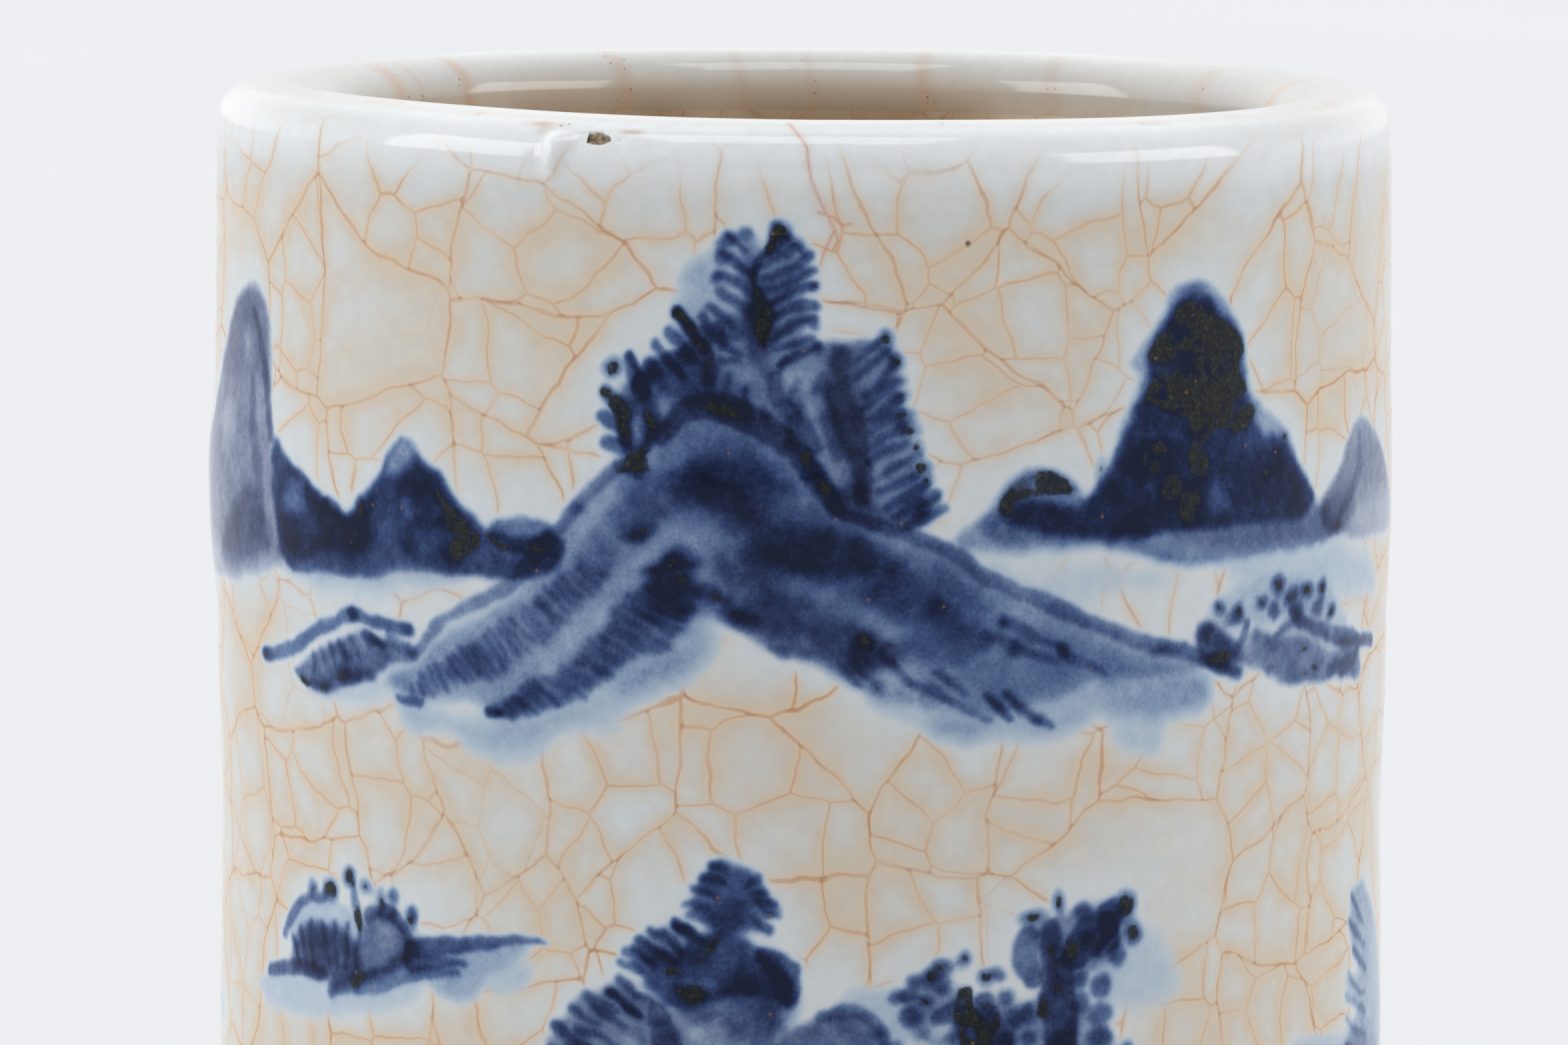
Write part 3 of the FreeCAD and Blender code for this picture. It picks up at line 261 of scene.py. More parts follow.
        ('dot', 0.45, 0.3, 0.95, 43.87, 38.78, 0.75, 0.71),
        ('dot', 0.45, 0.3, 0.95, 45.9, 40.02, 0.79, 0.71),
        ('dot', 0.45, 0.3, 0.95, 48.23, 39.73, 0.71, 0.51),
        ('dot', 0.45, 0.3, 0.95, 50.78, 39.84, 0.57, 0.61),
        ('dot', 0.45, 0.3, 0.95, 52.7, 42.04, 0.66, 0.53),
        ('dot', 0.45, 0.3, 0.95, 41.7, 40.07, 0.49, 0.46),
        ('dot', 0.45, 0.3, 0.95, 36.62, 39.98, 0.34, 0.33),
        ('dot', 0.45, 0.3, 0.95, 38.8, 40.52, 0.57, 0.68),
        ('dot', 0.42, 0.4, 0, 43.43, 40.89, 0.7, 0.66),
        ('dot', 0.42, 0.4, 0, 50.09, 41.39, 0.66, 0.56),
        ('dot', 0.42, 0.4, 0, 47.05, 41.36, 0.6, 0.61),
        ('dot', 0.42, 0.4, 0, 38.31, 40.91, 0.77, 0.41),
        ('line', 0.4, 0.4, 0, (0.7, 1.0, 0.8), [(39.88, 41.48),(39.67, 42.39),(39.14, 43.31)]),
        ('dot', 0.1, 0.5, 0.65, 48.2, 44.61, 0.71, 0.51),
        ('dot', 0.1, 0.5, 0.65, 49.97, 46.28, 0.84, 0.46),
        ('dot', 0.1, 0.5, 0.65, 43.6, 45.65, 0.55, 0.3),
        ('dot', 0.1, 0.5, 0.65, 48.5, 46.8, 0.8, 0.36),
        ('dot', 0.1, 0.5, 0.65, 40.28, 45.32, 0.44, 0.23),
        ('dot', 0.1, 0.5, 0.65, 46.64, 47.04, 0.47, 0.25),
        ('dot', 0.1, 0.5, 0.65, 42.83, 43.28, 0.31, 0.56),
        ('dot', 0.1, 0.5, 0.65, 53.86, 46.97, 0.64, 0.23),
        ('dot', 0.1, 0.5, 0.65, 43.98, 43.98, 0.32, 0.2),
        ('line', 0.5, 0.3, 0, (0.7, 0.8, 0.4), [(35.85, 44.48),(37.57, 45.15),(39.18, 45.76)]),
        ('fill', 0.16, 0.3, 0, 1.0, 0.4, [(35.78, 39.8),(38.52, 38.86),(43.45, 38.27),(48.79, 39.25),(53.08, 41.27),(55.63, 43.59),(50.92, 43.03),(45.2, 41.78),(40.41, 41.98),(36.48, 41.38)]),
        ('fill', 0.16, 0.3, 0.2, 0.5, 0.4, [(34.47, 41.19),(36.47, 41.33),(38.59, 43.01),(39.72, 45.08),(34.84, 43.84)]),
    ],
    "roof": [
        ('line', 0.48, 0.1, 0, (1.2, 1.1, 1.0), [(-54.53, 46.43),(-49.34, 44.75),(-45.01, 42.69),(-41.94, 41.52),(-40.44, 41.0)]),
        ('line', 0.52, 0.2, 0, (1.0, 1.1, 1.0), [(-40.44, 41.0),(-38.79, 41.28),(-36.81, 41.47),(-34.25, 41.89)]),
        ('dot', 0.4, 0.3, 0, -40.51, 41.01, 0.55, 0.41),
        ('dot', 0.4, 0.3, 0, -34.37, 41.86, 0.43, 0.29),
        ('dot', 0.4, 0.3, 0, -54.07, 46.27, 0.71, 0.33),
        ('dot', 0.3, 0.3, 0.5, -54.53, 46.24, 0.41, 0.24),
        ('fill', 0.5, 0.4, 0, 0.4, 0.45, [(-49.37, 46.85),(-47.12, 45.44),(-43.85, 44.1),(-41.41, 43.03),(-39.13, 42.31),(-37.31, 42.85),(-35.55, 43.17),(-33.77, 43.36),(-34.32, 44.03),(-36.2, 44.98),(-38.82, 46.19),(-41.63, 47.03),(-44.59, 48.14),(-46.93, 47.7)]),
        ('comb', 0.25, 0.3, 0.0, 0.6, 8, [(-46.48, 45.08),(-44.83, 44.36),(-43.08, 43.73),(-41.59, 43.1),(-40.17, 42.59),(-38.79, 42.27),(-37.8, 42.67),(-36.82, 42.8)], [(-46.08, 46.65),(-44.26, 45.96),(-42.72, 45.31),(-41.25, 44.9),(-39.66, 44.37),(-38.14, 43.86),(-36.83, 43.72),(-35.56, 43.58)]),
        ('line', 0.35, 0.3, 0, (0.6, 0.9, 0.6), [(-39.13, 42.47),(-38.13, 43.05),(-36.99, 43.46)]),
        ('line', 0.3, 0.15, 0, (0.6, 0.8, 0.6), [(-36.56, 42.27),(-35.55, 42.78),(-34.38, 43.24)]),
        ('fill', 0.2, 0.4, 0.85, 0.35, 0.35, [(-48.91, 46.98),(-47.14, 47.07),(-45.55, 47.28),(-43.96, 47.43),(-44.08, 48.07),(-46.51, 48.06),(-48.02, 47.61)]),
        ('dot', 0.3, 0.4, 0.75, -42.36, 46.42, 0.94, 0.67),
        ('dot', 0.3, 0.4, 0.75, -41.25, 44.63, 0.32, 0.19),
        ('dot', 0.3, 0.4, 0.75, -40.02, 46.15, 1.1, 0.22),
        ('dot', 0.3, 0.4, 0.75, -34.32, 43.55, 0.56, 0.26),
        ('dot', 0.0, 0.3, 0.45, -39.66, 44.31, 0.44, 0.22),
        ('fill', 0.08, 0.0, 0, 1.1, 0.2, [(-47.15, 47.96),(-39.51, 46.78),(-34.32, 44.15),(-34.33, 45.75),(-37.51, 48.16),(-43.13, 48.84)]),
    ],
    "islet": [
        ('fill', 0.13, 0.1, 0, 0.5, 0.2, [(-50.95, 69.0),(-50.04, 67.34),(-48.13, 66.17),(-45.41, 65.53),(-42.57, 65.64),(-40.91, 66.35),(-40.6, 67.79),(-44.71, 69.05),(-49.42, 69.81)]),
        ('line', 0.42, 0.3, 0, (1.0, 1.1, 0.8), [(-51.64, 69.07),(-50.79, 67.79),(-49.38, 66.42),(-47.52, 65.65),(-45.4, 65.32)]),
        ('fill', 0.48, 0.5, 0, 0.6, 0.35, [(-50.52, 70.65),(-49.63, 68.99),(-47.35, 68.02),(-44.69, 67.51),(-42.25, 67.82),(-39.96, 68.13),(-39.63, 66.38),(-38.08, 65.43),(-36.24, 65.61),(-34.82, 66.69),(-35.18, 69.16),(-36.92, 70.24),(-38.74, 71.39),(-41.96, 72.5),(-44.39, 73.06),(-44.74, 72.3),(-48.61, 72.04),(-50.32, 72.12)]),
        ('fill', 0.3, 0.6, 0, 0.6, 0.35, [(-47.76, 69.54),(-44.7, 68.41),(-41.26, 68.74),(-39.98, 70.25),(-41.29, 71.93),(-44.02, 71.93),(-46.99, 71.34)]),
        ('comb', 0.25, 0.5, 0.0, 0.9, 7, [(-50.28, 69.31),(-48.15, 68.15),(-46.56, 67.53),(-44.69, 67.09),(-43.1, 66.99),(-41.58, 67.3),(-40.6, 67.79)], [(-49.23, 71.29),(-47.39, 71.19),(-45.84, 71.15),(-44.01, 70.86),(-42.62, 70.86),(-41.61, 70.92),(-40.95, 71.03)]),
        ('line', 0.5, 0.45, 0, (1.2, 1.4, 1.0), [(-54.42, 72.73),(-51.68, 72.1),(-48.61, 71.72),(-45.47, 71.74)]),
        ('line', 0.42, 0.5, 0, (0.9, 1.2, 0.9), [(-39.47, 66.04),(-38.08, 65.11),(-36.3, 65.61),(-35.02, 66.82),(-35.17, 68.73)]),
        ('lift', 0.45, 0.6, [(-38.39, 66.21),(-36.89, 66.22),(-36.32, 67.41),(-37.5, 68.41),(-38.71, 67.52)]),
        ('lift', 0.4, 0.8, [(-48.54, 66.67),(-45.78, 66.02),(-43.26, 66.06),(-42.58, 66.81),(-45.42, 67.14),(-48.14, 67.57)]),
        ('dot', 0.42, 0.3, 0.95, -47.23, 64.62, 0.52, 0.54),
        ('dot', 0.42, 0.3, 0.95, -44.59, 64.6, 0.93, 0.83),
        ('dot', 0.42, 0.3, 0.95, -42.11, 63.09, 0.65, 0.65),
        ('dot', 0.4, 0.3, 0.85, -39.87, 63.81, 0.5, 0.39),
        ('dot', 0.4, 0.3, 0.85, -38.17, 64.7, 0.42, 0.83),
        ('dot', 0.4, 0.3, 0.85, -34.59, 65.46, 0.42, 0.57),
        ('dot', 0.4, 0.3, 0.85, -34.04, 67.53, 0.34, 0.57),
        ('dot', 0.4, 0.3, 0.85, -36.89, 65.37, 0.26, 0.24),
        ('dot', 0.48, 0.2, 0.1, -36.73, 63.94, 0.44, 0.48),
        ('dot', 0.48, 0.2, 0.1, -34.31, 64.94, 0.34, 0.35),
        ('line', 0.3, 0.3, 0.93, (0.7, 1.1, 0.9), [(-41.55, 63.79),(-41.23, 65.13),(-40.53, 66.51),(-40.03, 68.24)]),
        ('dot', 0.1, 0.3, 0.8, -42.59, 68.05, 0.66, 0.74),
        ('dot', 0.1, 0.3, 0.8, -37.55, 67.26, 0.65, 0.26),
        ('fill', 0.25, 0.3, 0.88, 0.35, 0.4, [(-41.79, 72.12),(-40.47, 70.96),(-38.12, 70.19),(-36.91, 69.07),(-35.45, 68.14),(-35.18, 69.41),(-36.92, 70.07),(-38.74, 70.96),(-41.13, 72.16)]),
        ('dot', 0.1, 0.3, 0.5, -48.11, 71.61, 0.34, 0.24),
        ('dot', 0.1, 0.3, 0.5, -44.2, 71.85, 0.62, 0.2),
        ('line', 0.52, 0.25, 0, (1.6, 1.3, 0.3), [(-34.6, 67.71),(-31.87, 67.43),(-28.51, 66.84),(-24.84, 66.25),(-21.46, 66.03)]),
        ('line', 0.45, 0.3, 0, (1.6, 1.3, 0.5), [(-34.61, 69.08),(-31.87, 68.7),(-29.02, 68.57)]),
        ('line', 0.35, 0.2, 0, (1.2, 2.0, 0.6), [(-44.39, 72.74),(-39.99, 71.74),(-36.34, 70.54),(-32.96, 69.71),(-29.79, 69.54)]),
        ('fill', 0.2, 0.05, 0, 0.8, 0.2, [(-34.6, 67.61),(-27.26, 66.64),(-22.96, 66.43),(-24.13, 67.89),(-26.78, 69.83),(-27.77, 71.2),(-29.8, 71.96),(-31.62, 71.44),(-32.69, 70.31),(-34.62, 69.93)]),
        ('fill', 0.11, 0.05, 0, 0.8, 0.2, [(-26.54, 70.23),(-24.13, 68.31),(-22.5, 67.95),(-22.73, 69.43),(-24.14, 70.51),(-25.81, 70.78)]),
        ('fill', 0.1, 0.0, 0, 1.0, 0.2, [(-56.38, 73.52),(-48.62, 72.36),(-42.64, 72.78),(-38.13, 71.47),(-33.5, 70.1),(-33.79, 72.35),(-38.14, 73.8),(-44.78, 75.26),(-53.19, 76.08),(-56.7, 75.0)]),
    ],
    "low_tree": [
        ('fill', 0.6, 0.12, 0, 0.4, 0.35, [(-7.4, 59.03),(-6.39, 58.79),(-5.12, 59.06),(-4.07, 59.25),(-3.12, 60.25),(-2.28, 61.52),(-1.71, 62.41),(-2.49, 63.23),(-3.64, 63.24),(-3.01, 64.19),(-4.48, 64.32),(-7.02, 64.39),(-7.87, 63.56),(-8.93, 63.22),(-9.15, 62.11),(-8.72, 60.93),(-8.08, 59.95)]),
        ('comb', 0.35, 0.1, 0.0, 0.9, 6, [(-7.45, 59.07),(-8.19, 60.16),(-8.83, 61.04),(-9.47, 62.3),(-9.15, 63.5),(-10.09, 64.18)], [(-5.96, 59.67),(-6.81, 60.76),(-7.44, 61.63),(-7.87, 62.5),(-7.87, 63.56),(-8.72, 64.45)]),
        ('comb', 0.38, 0.15, 0.0, 0.9, 5, [(-3.65, 60.05),(-2.6, 61.2),(-1.71, 62.47),(-1.86, 62.79),(-2.38, 64.18)], [(-4.7, 60.49),(-3.86, 61.33),(-3.22, 61.96),(-3.22, 62.81),(-3.54, 63.24)]),
        ('fill', 0.3, 0.5, 0, 0.6, 0.35, [(-7.87, 62.71),(-5.75, 62.22),(-4.27, 63.04),(-4.48, 64.54),(-6.59, 64.8),(-7.87, 63.99)]),
        ('fill', 0.75, 0.12, 0, 0.5, 0.3, [(-13.69, 67.03),(-11.73, 66.71),(-10.0, 66.2),(-8.08, 64.64),(-5.32, 64.56),(-3.64, 65.8),(-1.95, 66.42),(-0.9, 68.12),(-0.58, 69.82),(-1.52, 70.47),(-3.0, 69.63),(-5.74, 69.69),(-7.86, 70.61),(-10.0, 70.7),(-12.16, 69.3),(-12.82, 68.05)]),
        ('comb', 0.4, 0.15, 0.0, 0.95, 8, [(-12.16, 64.49),(-13.3, 65.3),(-15.19, 66.95),(-14.68, 67.2),(-13.69, 66.28),(-11.19, 64.55),(-10.22, 64.29),(-10.0, 63.96)], [(-10.0, 65.99),(-11.29, 66.48),(-13.25, 67.65),(-12.82, 68.05),(-11.94, 67.36),(-9.14, 65.96),(-8.72, 65.51),(-8.29, 65.07)]),
        ('fill', 0.22, 0.5, 0, 0.5, 0.3, [(-13.47, 65.52),(-11.73, 64.57),(-9.57, 64.48),(-8.29, 65.07),(-9.14, 66.6),(-11.73, 66.71)]),
        ('line', 0.55, 0.1, 0, (1.2, 2.4, 1.0), [(-3.21, 66.22),(-1.74, 67.06),(-0.9, 68.54),(-0.79, 70.08)]),
        ('fill', 0.42, 0.55, 0, 0.6, 0.35, [(-21.0, 74.87),(-20.48, 73.1),(-19.13, 71.48),(-18.21, 70.33),(-16.81, 69.91),(-14.35, 68.78),(-12.6, 69.75),(-10.0, 70.91),(-6.58, 70.57),(-3.63, 69.65),(-1.84, 70.48),(-1.73, 71.76),(-2.36, 73.05),(-2.35, 76.05),(-7.85, 76.61),(-16.59, 76.67)]),
        ('comb', 0.4, 0.25, 0.0, 0.95, 12, [(-20.91, 74.65),(-20.76, 73.56),(-20.01, 72.63),(-19.09, 71.26),(-18.28, 70.23),(-17.15, 69.83),(-16.09, 69.54),(-14.46, 69.54),(-14.8, 68.38),(-20.77, 75.72),(-20.91, 76.81),(-20.49, 77.85)], [(-17.49, 75.66),(-17.72, 74.38),(-17.26, 73.49),(-16.58, 72.58),(-15.91, 71.89),(-15.02, 71.4),(-14.13, 71.34),(-12.82, 71.27),(-12.16, 69.95),(-17.27, 76.72),(-17.27, 77.8),(-16.82, 78.63)]),
        ('fill', 0.3, 0.15, 0, 0.5, 0.3, [(-10.86, 69.02),(-6.58, 68.86),(-3.63, 68.79),(-5.73, 70.76),(-8.28, 71.91),(-10.0, 70.7)]),
        ('lift', 0.45, 0.6, [(-7.43, 70.17),(-4.47, 69.66),(-3.62, 70.93),(-4.89, 71.81),(-7.01, 71.01)]),
        ('lift', 0.3, 0.8, [(-9.57, 71.96),(-8.28, 71.91),(-8.28, 73.63),(-9.35, 73.67)]),
        ('fill', 0.2, 0.3, 0.93, 0.35, 0.4, [(-7.86, 65.06),(-7.12, 64.28),(-6.38, 64.37),(-6.91, 65.45),(-7.22, 66.53),(-7.86, 67.19),(-8.82, 67.01),(-8.29, 65.92)]),
        ('fill', 0.2, 0.3, 0.93, 0.4, 0.4, [(-10.11, 68.99),(-8.93, 68.62),(-7.43, 68.89),(-7.33, 69.74),(-8.28, 70.41),(-9.78, 69.83)]),
        ('dot', 0.2, 0.3, 0.9, -11.9, 68.77, 0.55, 0.27),
        ('dot', 0.2, 0.3, 0.9, -10.39, 67.65, 0.64, 0.54),
        ('dot', 0.2, 0.3, 0.9, -4.9, 65.44, 0.36, 0.2),
        ('dot', 0.2, 0.3, 0.9, -6.32, 63.3, 0.36, 0.22),
        ('dot', 0.2, 0.3, 0.9, -5.26, 62.1, 0.59, 0.2),
        ('dot', 0.2, 0.3, 0.9, -11.64, 71.68, 0.65, 0.22),
        ('dot', 0.2, 0.3, 0.9, -4.94, 67.32, 0.23, 0.67),
        ('dot', 0.2, 0.3, 0.9, -2.75, 67.41, 0.36, 0.22),
        ('dot', 0.2, 0.3, 0.9, -12.16, 66.63, 0.79, 0.31),
        ('dot', 0.2, 0.3, 0.9, -10.97, 66.78, 0.51, 0.27),
        ('dot', 0.2, 0.3, 0.9, -12.05, 64.7, 0.32, 0.22),
        ('dot', 0.2, 0.3, 0.9, -12.82, 73.52, 0.23, 0.36),
        ('dot', 0.2, 0.3, 0.9, -13.8, 72.87, 0.28, 0.2),
        ('dot', 0.2, 0.3, 0.9, -10.53, 72.97, 0.32, 0.45),
        ('dot', 0.0, 0.3, 0.45, -5.57, 68.83, 0.81, 0.16),
        ('dot', 0.0, 0.3, 0.45, -6.49, 63.95, 0.14, 0.36),
        ('line', 0.5, 0.2, 0, (0.9, 1.2, 0.7), [(-10.09, 63.97),(-9.57, 64.37),(-8.93, 64.67)]),
        ('fill', 0.45, 0.5, 0, 0.6, 0.3, [(-2.35, 76.05),(-2.25, 73.69),(-1.52, 72.5),(0.16, 72.07),(1.63, 71.32),(3.1, 70.9),(4.78, 71.03),(6.06, 72.02),(6.81, 73.75),(6.93, 76.11)]),
        ('line', 0.35, 0.3, 0, (0.8, 1.4, 0.8), [(1.42, 71.32),(3.31, 70.8),(5.0, 71.14),(6.27, 72.45),(6.92, 73.97)]),
        ('dot', 0.2, 0.3, 0.6, 6.1, 72.83, 0.32, 0.2),
        ('line', 0.45, 0.4, 0, (1.5, 2.6, 1.2), [(-11.73, 70.78),(-10.86, 74.17),(-9.99, 77.56),(-9.13, 81.61)]),
        ('fill', 0.3, 0.4, 0, 0.8, 0.35, [(-18.86, 76.85),(-13.91, 75.63),(-7.85, 75.76),(-2.35, 76.05),(-1.5, 78.18),(-5.29, 80.19),(-10.85, 81.05),(-16.59, 80.12),(-19.1, 78.59)]),
        ('comb', 0.35, 0.3, 0.0, 0.95, 12, [(-19.33, 76.89),(-18.64, 78.56),(-17.04, 79.94),(-14.8, 81.07),(-12.6, 81.79),(-9.99, 81.97),(-7.42, 81.54),(-5.08, 80.82),(-3.18, 79.71),(-1.5, 78.4),(-0.87, 77.11),(-0.67, 76.03)], [(-15.91, 76.41),(-15.47, 77.67),(-14.36, 78.67),(-13.03, 79.45),(-11.72, 80.02),(-9.99, 80.14),(-8.27, 79.85),(-6.57, 79.36),(-5.3, 78.47),(-4.24, 77.58),(-3.82, 76.72),(-3.61, 76.07)]),
        ('fill', 0.3, 0.2, 0, 0.9, 0.4, [(-6.35, 67.97),(-2.08, 67.61),(-0.48, 71.38),(-5.53, 73.35)]),
        ('fill', 0.14, 0.1, 0, 1.0, 0.4, [(3.5, 69.23),(7.78, 69.32),(8.88, 73.14),(3.51, 73.02)]),
    ],
    "dot_tree": [
        ('fill', 0.3, 0.4, 0, 0.6, 0.3, [(8.38, 69.0),(10.59, 67.7),(12.28, 69.16),(14.27, 70.64),(16.28, 70.49),(18.33, 70.62),(19.82, 70.18),(20.09, 67.42),(18.58, 65.1),(20.97, 64.17),(23.42, 63.53),(26.61, 63.26),(27.29, 65.28),(26.01, 67.94),(23.47, 68.54),(22.87, 70.99),(25.42, 72.9),(25.46, 76.82),(13.45, 76.42),(10.63, 74.06),(8.95, 72.34)]),
        ('lift', 0.7, 0.7, [(16.26, 67.99),(17.44, 68.9),(19.21, 69.3),(19.22, 70.13),(17.16, 70.54),(15.69, 69.34)]),
        ('lift', 0.6, 0.6, [(10.89, 71.58),(12.29, 71.37),(12.58, 72.49),(11.46, 72.99),(10.34, 73.22)]),
        ('line', 0.5, 0.3, 0, (1.6, 2.4, 1.6), [(18.58, 65.38),(18.15, 67.01),(18.91, 68.59)]),
        ('line', 0.5, 0.5, 0, (1.8, 3.0, 2.6), [(20.37, 65.09),(21.01, 68.88),(21.4, 71.7),(21.53, 75.88)]),
        ('line', 0.6, 0.2, 0.1, (1.6, 3.2, 2.0), [(22.22, 67.59),(23.45, 66.31),(25.33, 64.95),(26.45, 63.8)]),
        ('line', 0.45, 0.3, 0, (1.4, 1.8, 1.4), [(25.04, 67.01),(25.99, 66.4),(25.72, 64.85)]),
        ('line', 0.45, 0.4, 0, (1.2, 2.0, 1.2), [(11.03, 71.37),(12.29, 71.04),(13.43, 72.26),(15.15, 74.3)]),
        ('line', 0.45, 0.5, 0, (1.6, 2.4, 1.8), [(14.7, 70.39),(15.29, 72.64),(16.9, 75.52)]),
        ('fill', 0.2, 0.4, 0.85, 0.35, 0.35, [(20.23, 66.05),(20.99, 66.25),(21.25, 68.07),(21.63, 69.77),(21.08, 70.14),(20.55, 67.74)]),
        ('fill', 0.2, 0.3, 0.95, 0.35, 0.35, [(21.9, 65.49),(22.82, 65.56),(23.21, 67.12),(22.53, 67.9),(21.91, 67.29)]),
        ('fill', 0.2, 0.3, 0.9, 0.35, 0.35, [(19.66, 70.03),(20.27, 70.21),(20.58, 71.35),(20.13, 71.93),(19.38, 71.67),(19.46, 70.85)]),
        ('line', 0.2, 0.4, 0.9, (1.2, 1.8, 1.2), [(13.04, 69.61),(13.14, 71.14),(13.57, 72.54),(13.44, 74.2)]),
        ('line', 0.2, 0.4, 0.9, (1.2, 1.9, 1.2), [(14.9, 70.96),(15.14, 72.36),(14.72, 73.44)]),
        ('dot', 0.45, 0.25, 0.95, 27.53, 63.49, 0.82, 1.1),
        ('dot', 0.45, 0.25, 0.95, 28.22, 65.82, 0.69, 0.81),
        ('dot', 0.45, 0.25, 0.95, 21.11, 62.98, 0.44, 0.7),
        ('dot', 0.45, 0.25, 0.95, 18.78, 63.9, 0.78, 0.43),
        ('dot', 0.45, 0.25, 0.95, 11.28, 67.46, 0.65, 0.64),
        ('dot', 0.45, 0.25, 0.95, 10.4, 68.14, 0.59, 0.52),
        ('dot', 0.45, 0.25, 0.95, 12.91, 67.01, 0.48, 0.52),
        ('dot', 0.45, 0.25, 0.95, 14.83, 68.4, 0.48, 0.52),
        ('dot', 0.45, 0.25, 0.95, 9.99, 70.11, 0.47, 0.46),
        ('dot', 0.5, 0.3, 0.35, 8.93, 68.25, 0.5, 0.41),
        ('dot', 0.5, 0.3, 0.35, 11.43, 69.01, 0.42, 0.35),
        ('dot', 0.5, 0.3, 0.35, 15.8, 68.07, 0.43, 0.41),
        ('dot', 0.5, 0.3, 0.35, 16.42, 70.05, 0.49, 0.46),
        ('dot', 0.5, 0.3, 0.35, 17.11, 71.84, 0.55, 0.7),
        ('dot', 0.5, 0.3, 0.35, 18.65, 73.48, 0.5, 0.43),
        ('dot', 0.5, 0.3, 0.35, 24.89, 74.02, 0.86, 0.7),
        ('dot', 0.5, 0.3, 0.35, 12.44, 73.04, 0.6, 0.58),
        ('dot', 0.5, 0.3, 0.35, 23.43, 63.73, 0.58, 0.52),
        ('dot', 0.5, 0.15, 0.0, 7.61, 69.67, 0.53, 0.52),
        ('dot', 0.5, 0.15, 0.0, 8.81, 71.39, 0.71, 0.64),
        ('dot', 0.5, 0.15, 0.0, 8.52, 69.56, 0.59, 0.52),
        ('dot', 0.5, 0.15, 0.0, 18.46, 71.47, 0.62, 0.58),
        ('dot', 0.5, 0.15, 0.0, 16.74, 73.57, 0.55, 0.46),
        ('dot', 0.5, 0.15, 0.0, 26.56, 67.63, 0.67, 0.78),
        ('dot', 0.5, 0.15, 0.0, 25.07, 69.85, 0.73, 0.75),
        ('dot', 0.5, 0.15, 0.0, 24.96, 72.02, 0.86, 0.75),
        ('dot', 0.5, 0.15, 0.0, 23.25, 70.97, 0.58, 0.7),
        ('dot', 0.5, 0.15, 0.0, 23.17, 69.12, 0.52, 0.52),
        ('dot', 0.5, 0.15, 0.0, 22.4, 72.95, 0.45, 0.58),
        ('dot', 0.5, 0.15, 0.0, 25.82, 65.13, 0.53, 0.75),
        ('dot', 0.5, 0.15, 0.0, 23.82, 66.07, 0.59, 0.52),
        ('dot', 0.15, 0.5, 0.5, 9.65, 72.97, 0.35, 0.41),
        ('dot', 0.5, 0.25, 0.5, 7.58, 73.95, 0.53, 0.52),
        ('dot', 0.5, 0.25, 0.5, 10.07, 74.87, 0.59, 0.52),
        ('dot', 0.5, 0.25, 0.5, 18.67, 75.65, 0.56, 0.58),
        ('dot', 0.5, 0.25, 0.5, 23.54, 75.79, 0.65, 0.58),
        ('dot', 0.5, 0.25, 0.5, 26.1, 76.32, 0.6, 0.58),
        ('dot', 0.5, 0.25, 0.5, 27.4, 75.34, 0.54, 0.52),
        ('dot', 0.5, 0.25, 0.5, 15.74, 76.0, 0.55, 0.52),
        ('dot', 0.5, 0.25, 0.5, 12.04, 76.35, 0.54, 0.52),
        ('line', 0.5, 0.5, 0.1, (2.4, 3.0, 2.0), [(21.52, 74.21),(21.09, 77.52),(19.91, 81.32),(18.44, 84.55)]),
        ('line', 0.45, 0.5, 0.2, (1.6, 2.4, 2.0), [(14.29, 74.25),(16.33, 77.15),(18.41, 80.09),(19.32, 82.39)]),
        ('fill', 0.09, 0.0, 0, 1.6, 0.3, [(24.27, 65.43),(31.11, 65.84),(32.58, 71.78),(24.33, 71.16)]),
    ],
    "feather": [
        ('fill', 0.2, 0.4, 0, 0.8, 0.25, [(58.9, 66.8),(62.28, 66.67),(65.88, 69.37),(68.88, 73.48),(71.33, 78.71),(70.91, 82.78),(56.75, 81.07),(58.33, 78.46),(60.12, 76.62),(57.12, 73.87),(61.01, 74.02),(58.92, 71.3),(58.35, 68.58)]),
        ('comb', 0.22, 0.3, 0.0, 0.9, 7, [(58.56, 67.17),(58.37, 68.88),(59.09, 71.04),(57.11, 73.58),(57.52, 75.4),(57.01, 77.34),(56.68, 79.31)], [(62.13, 70.14),(62.58, 71.98),(63.08, 74.12),(62.48, 76.34),(62.97, 78.49),(62.7, 80.2),(62.56, 81.93)]),
        ('fill', 0.14, 0.3, 0, 1.2, 0.2, [(47.11, 77.57),(55.12, 78.43),(66.8, 80.15),(68.27, 84.6),(47.71, 80.54)]),
    ],
}

# --------------------------------------------------------------------- noise
class Noise:
    """Smooth noise that repeats once round the pot, from -1 to 1."""

    def __init__(self, seed, size, tall=None):
        rng = np.random.default_rng(seed)
        tall = tall or size
        self.nu = max(4, int(round(LAP / size)))
        self.nv = int(150 / tall) + 4
        self.su = LAP / self.nu
        self.sv = tall
        self.grid = rng.uniform(-1, 1, (self.nv, self.nu)).astype(np.float32)

    def __call__(self, u, v):
        a = u / self.su
        b = np.clip(v / self.sv + 1.0, 0, self.nv - 2.001)
        i = np.floor(a).astype(np.int64)
        j = np.floor(b).astype(np.int64)
        fa = a - i
        fb = b - j
        fa = fa * fa * (3 - 2 * fa)
        fb = fb * fb * (3 - 2 * fb)
        i0 = i % self.nu
        i1 = (i + 1) % self.nu
        g = self.grid
        low = g[j, i0] * (1 - fa) + g[j, i1] * fa
        high = g[j + 1, i0] * (1 - fa) + g[j + 1, i1] * fa
        return low * (1 - fb) + high * fb


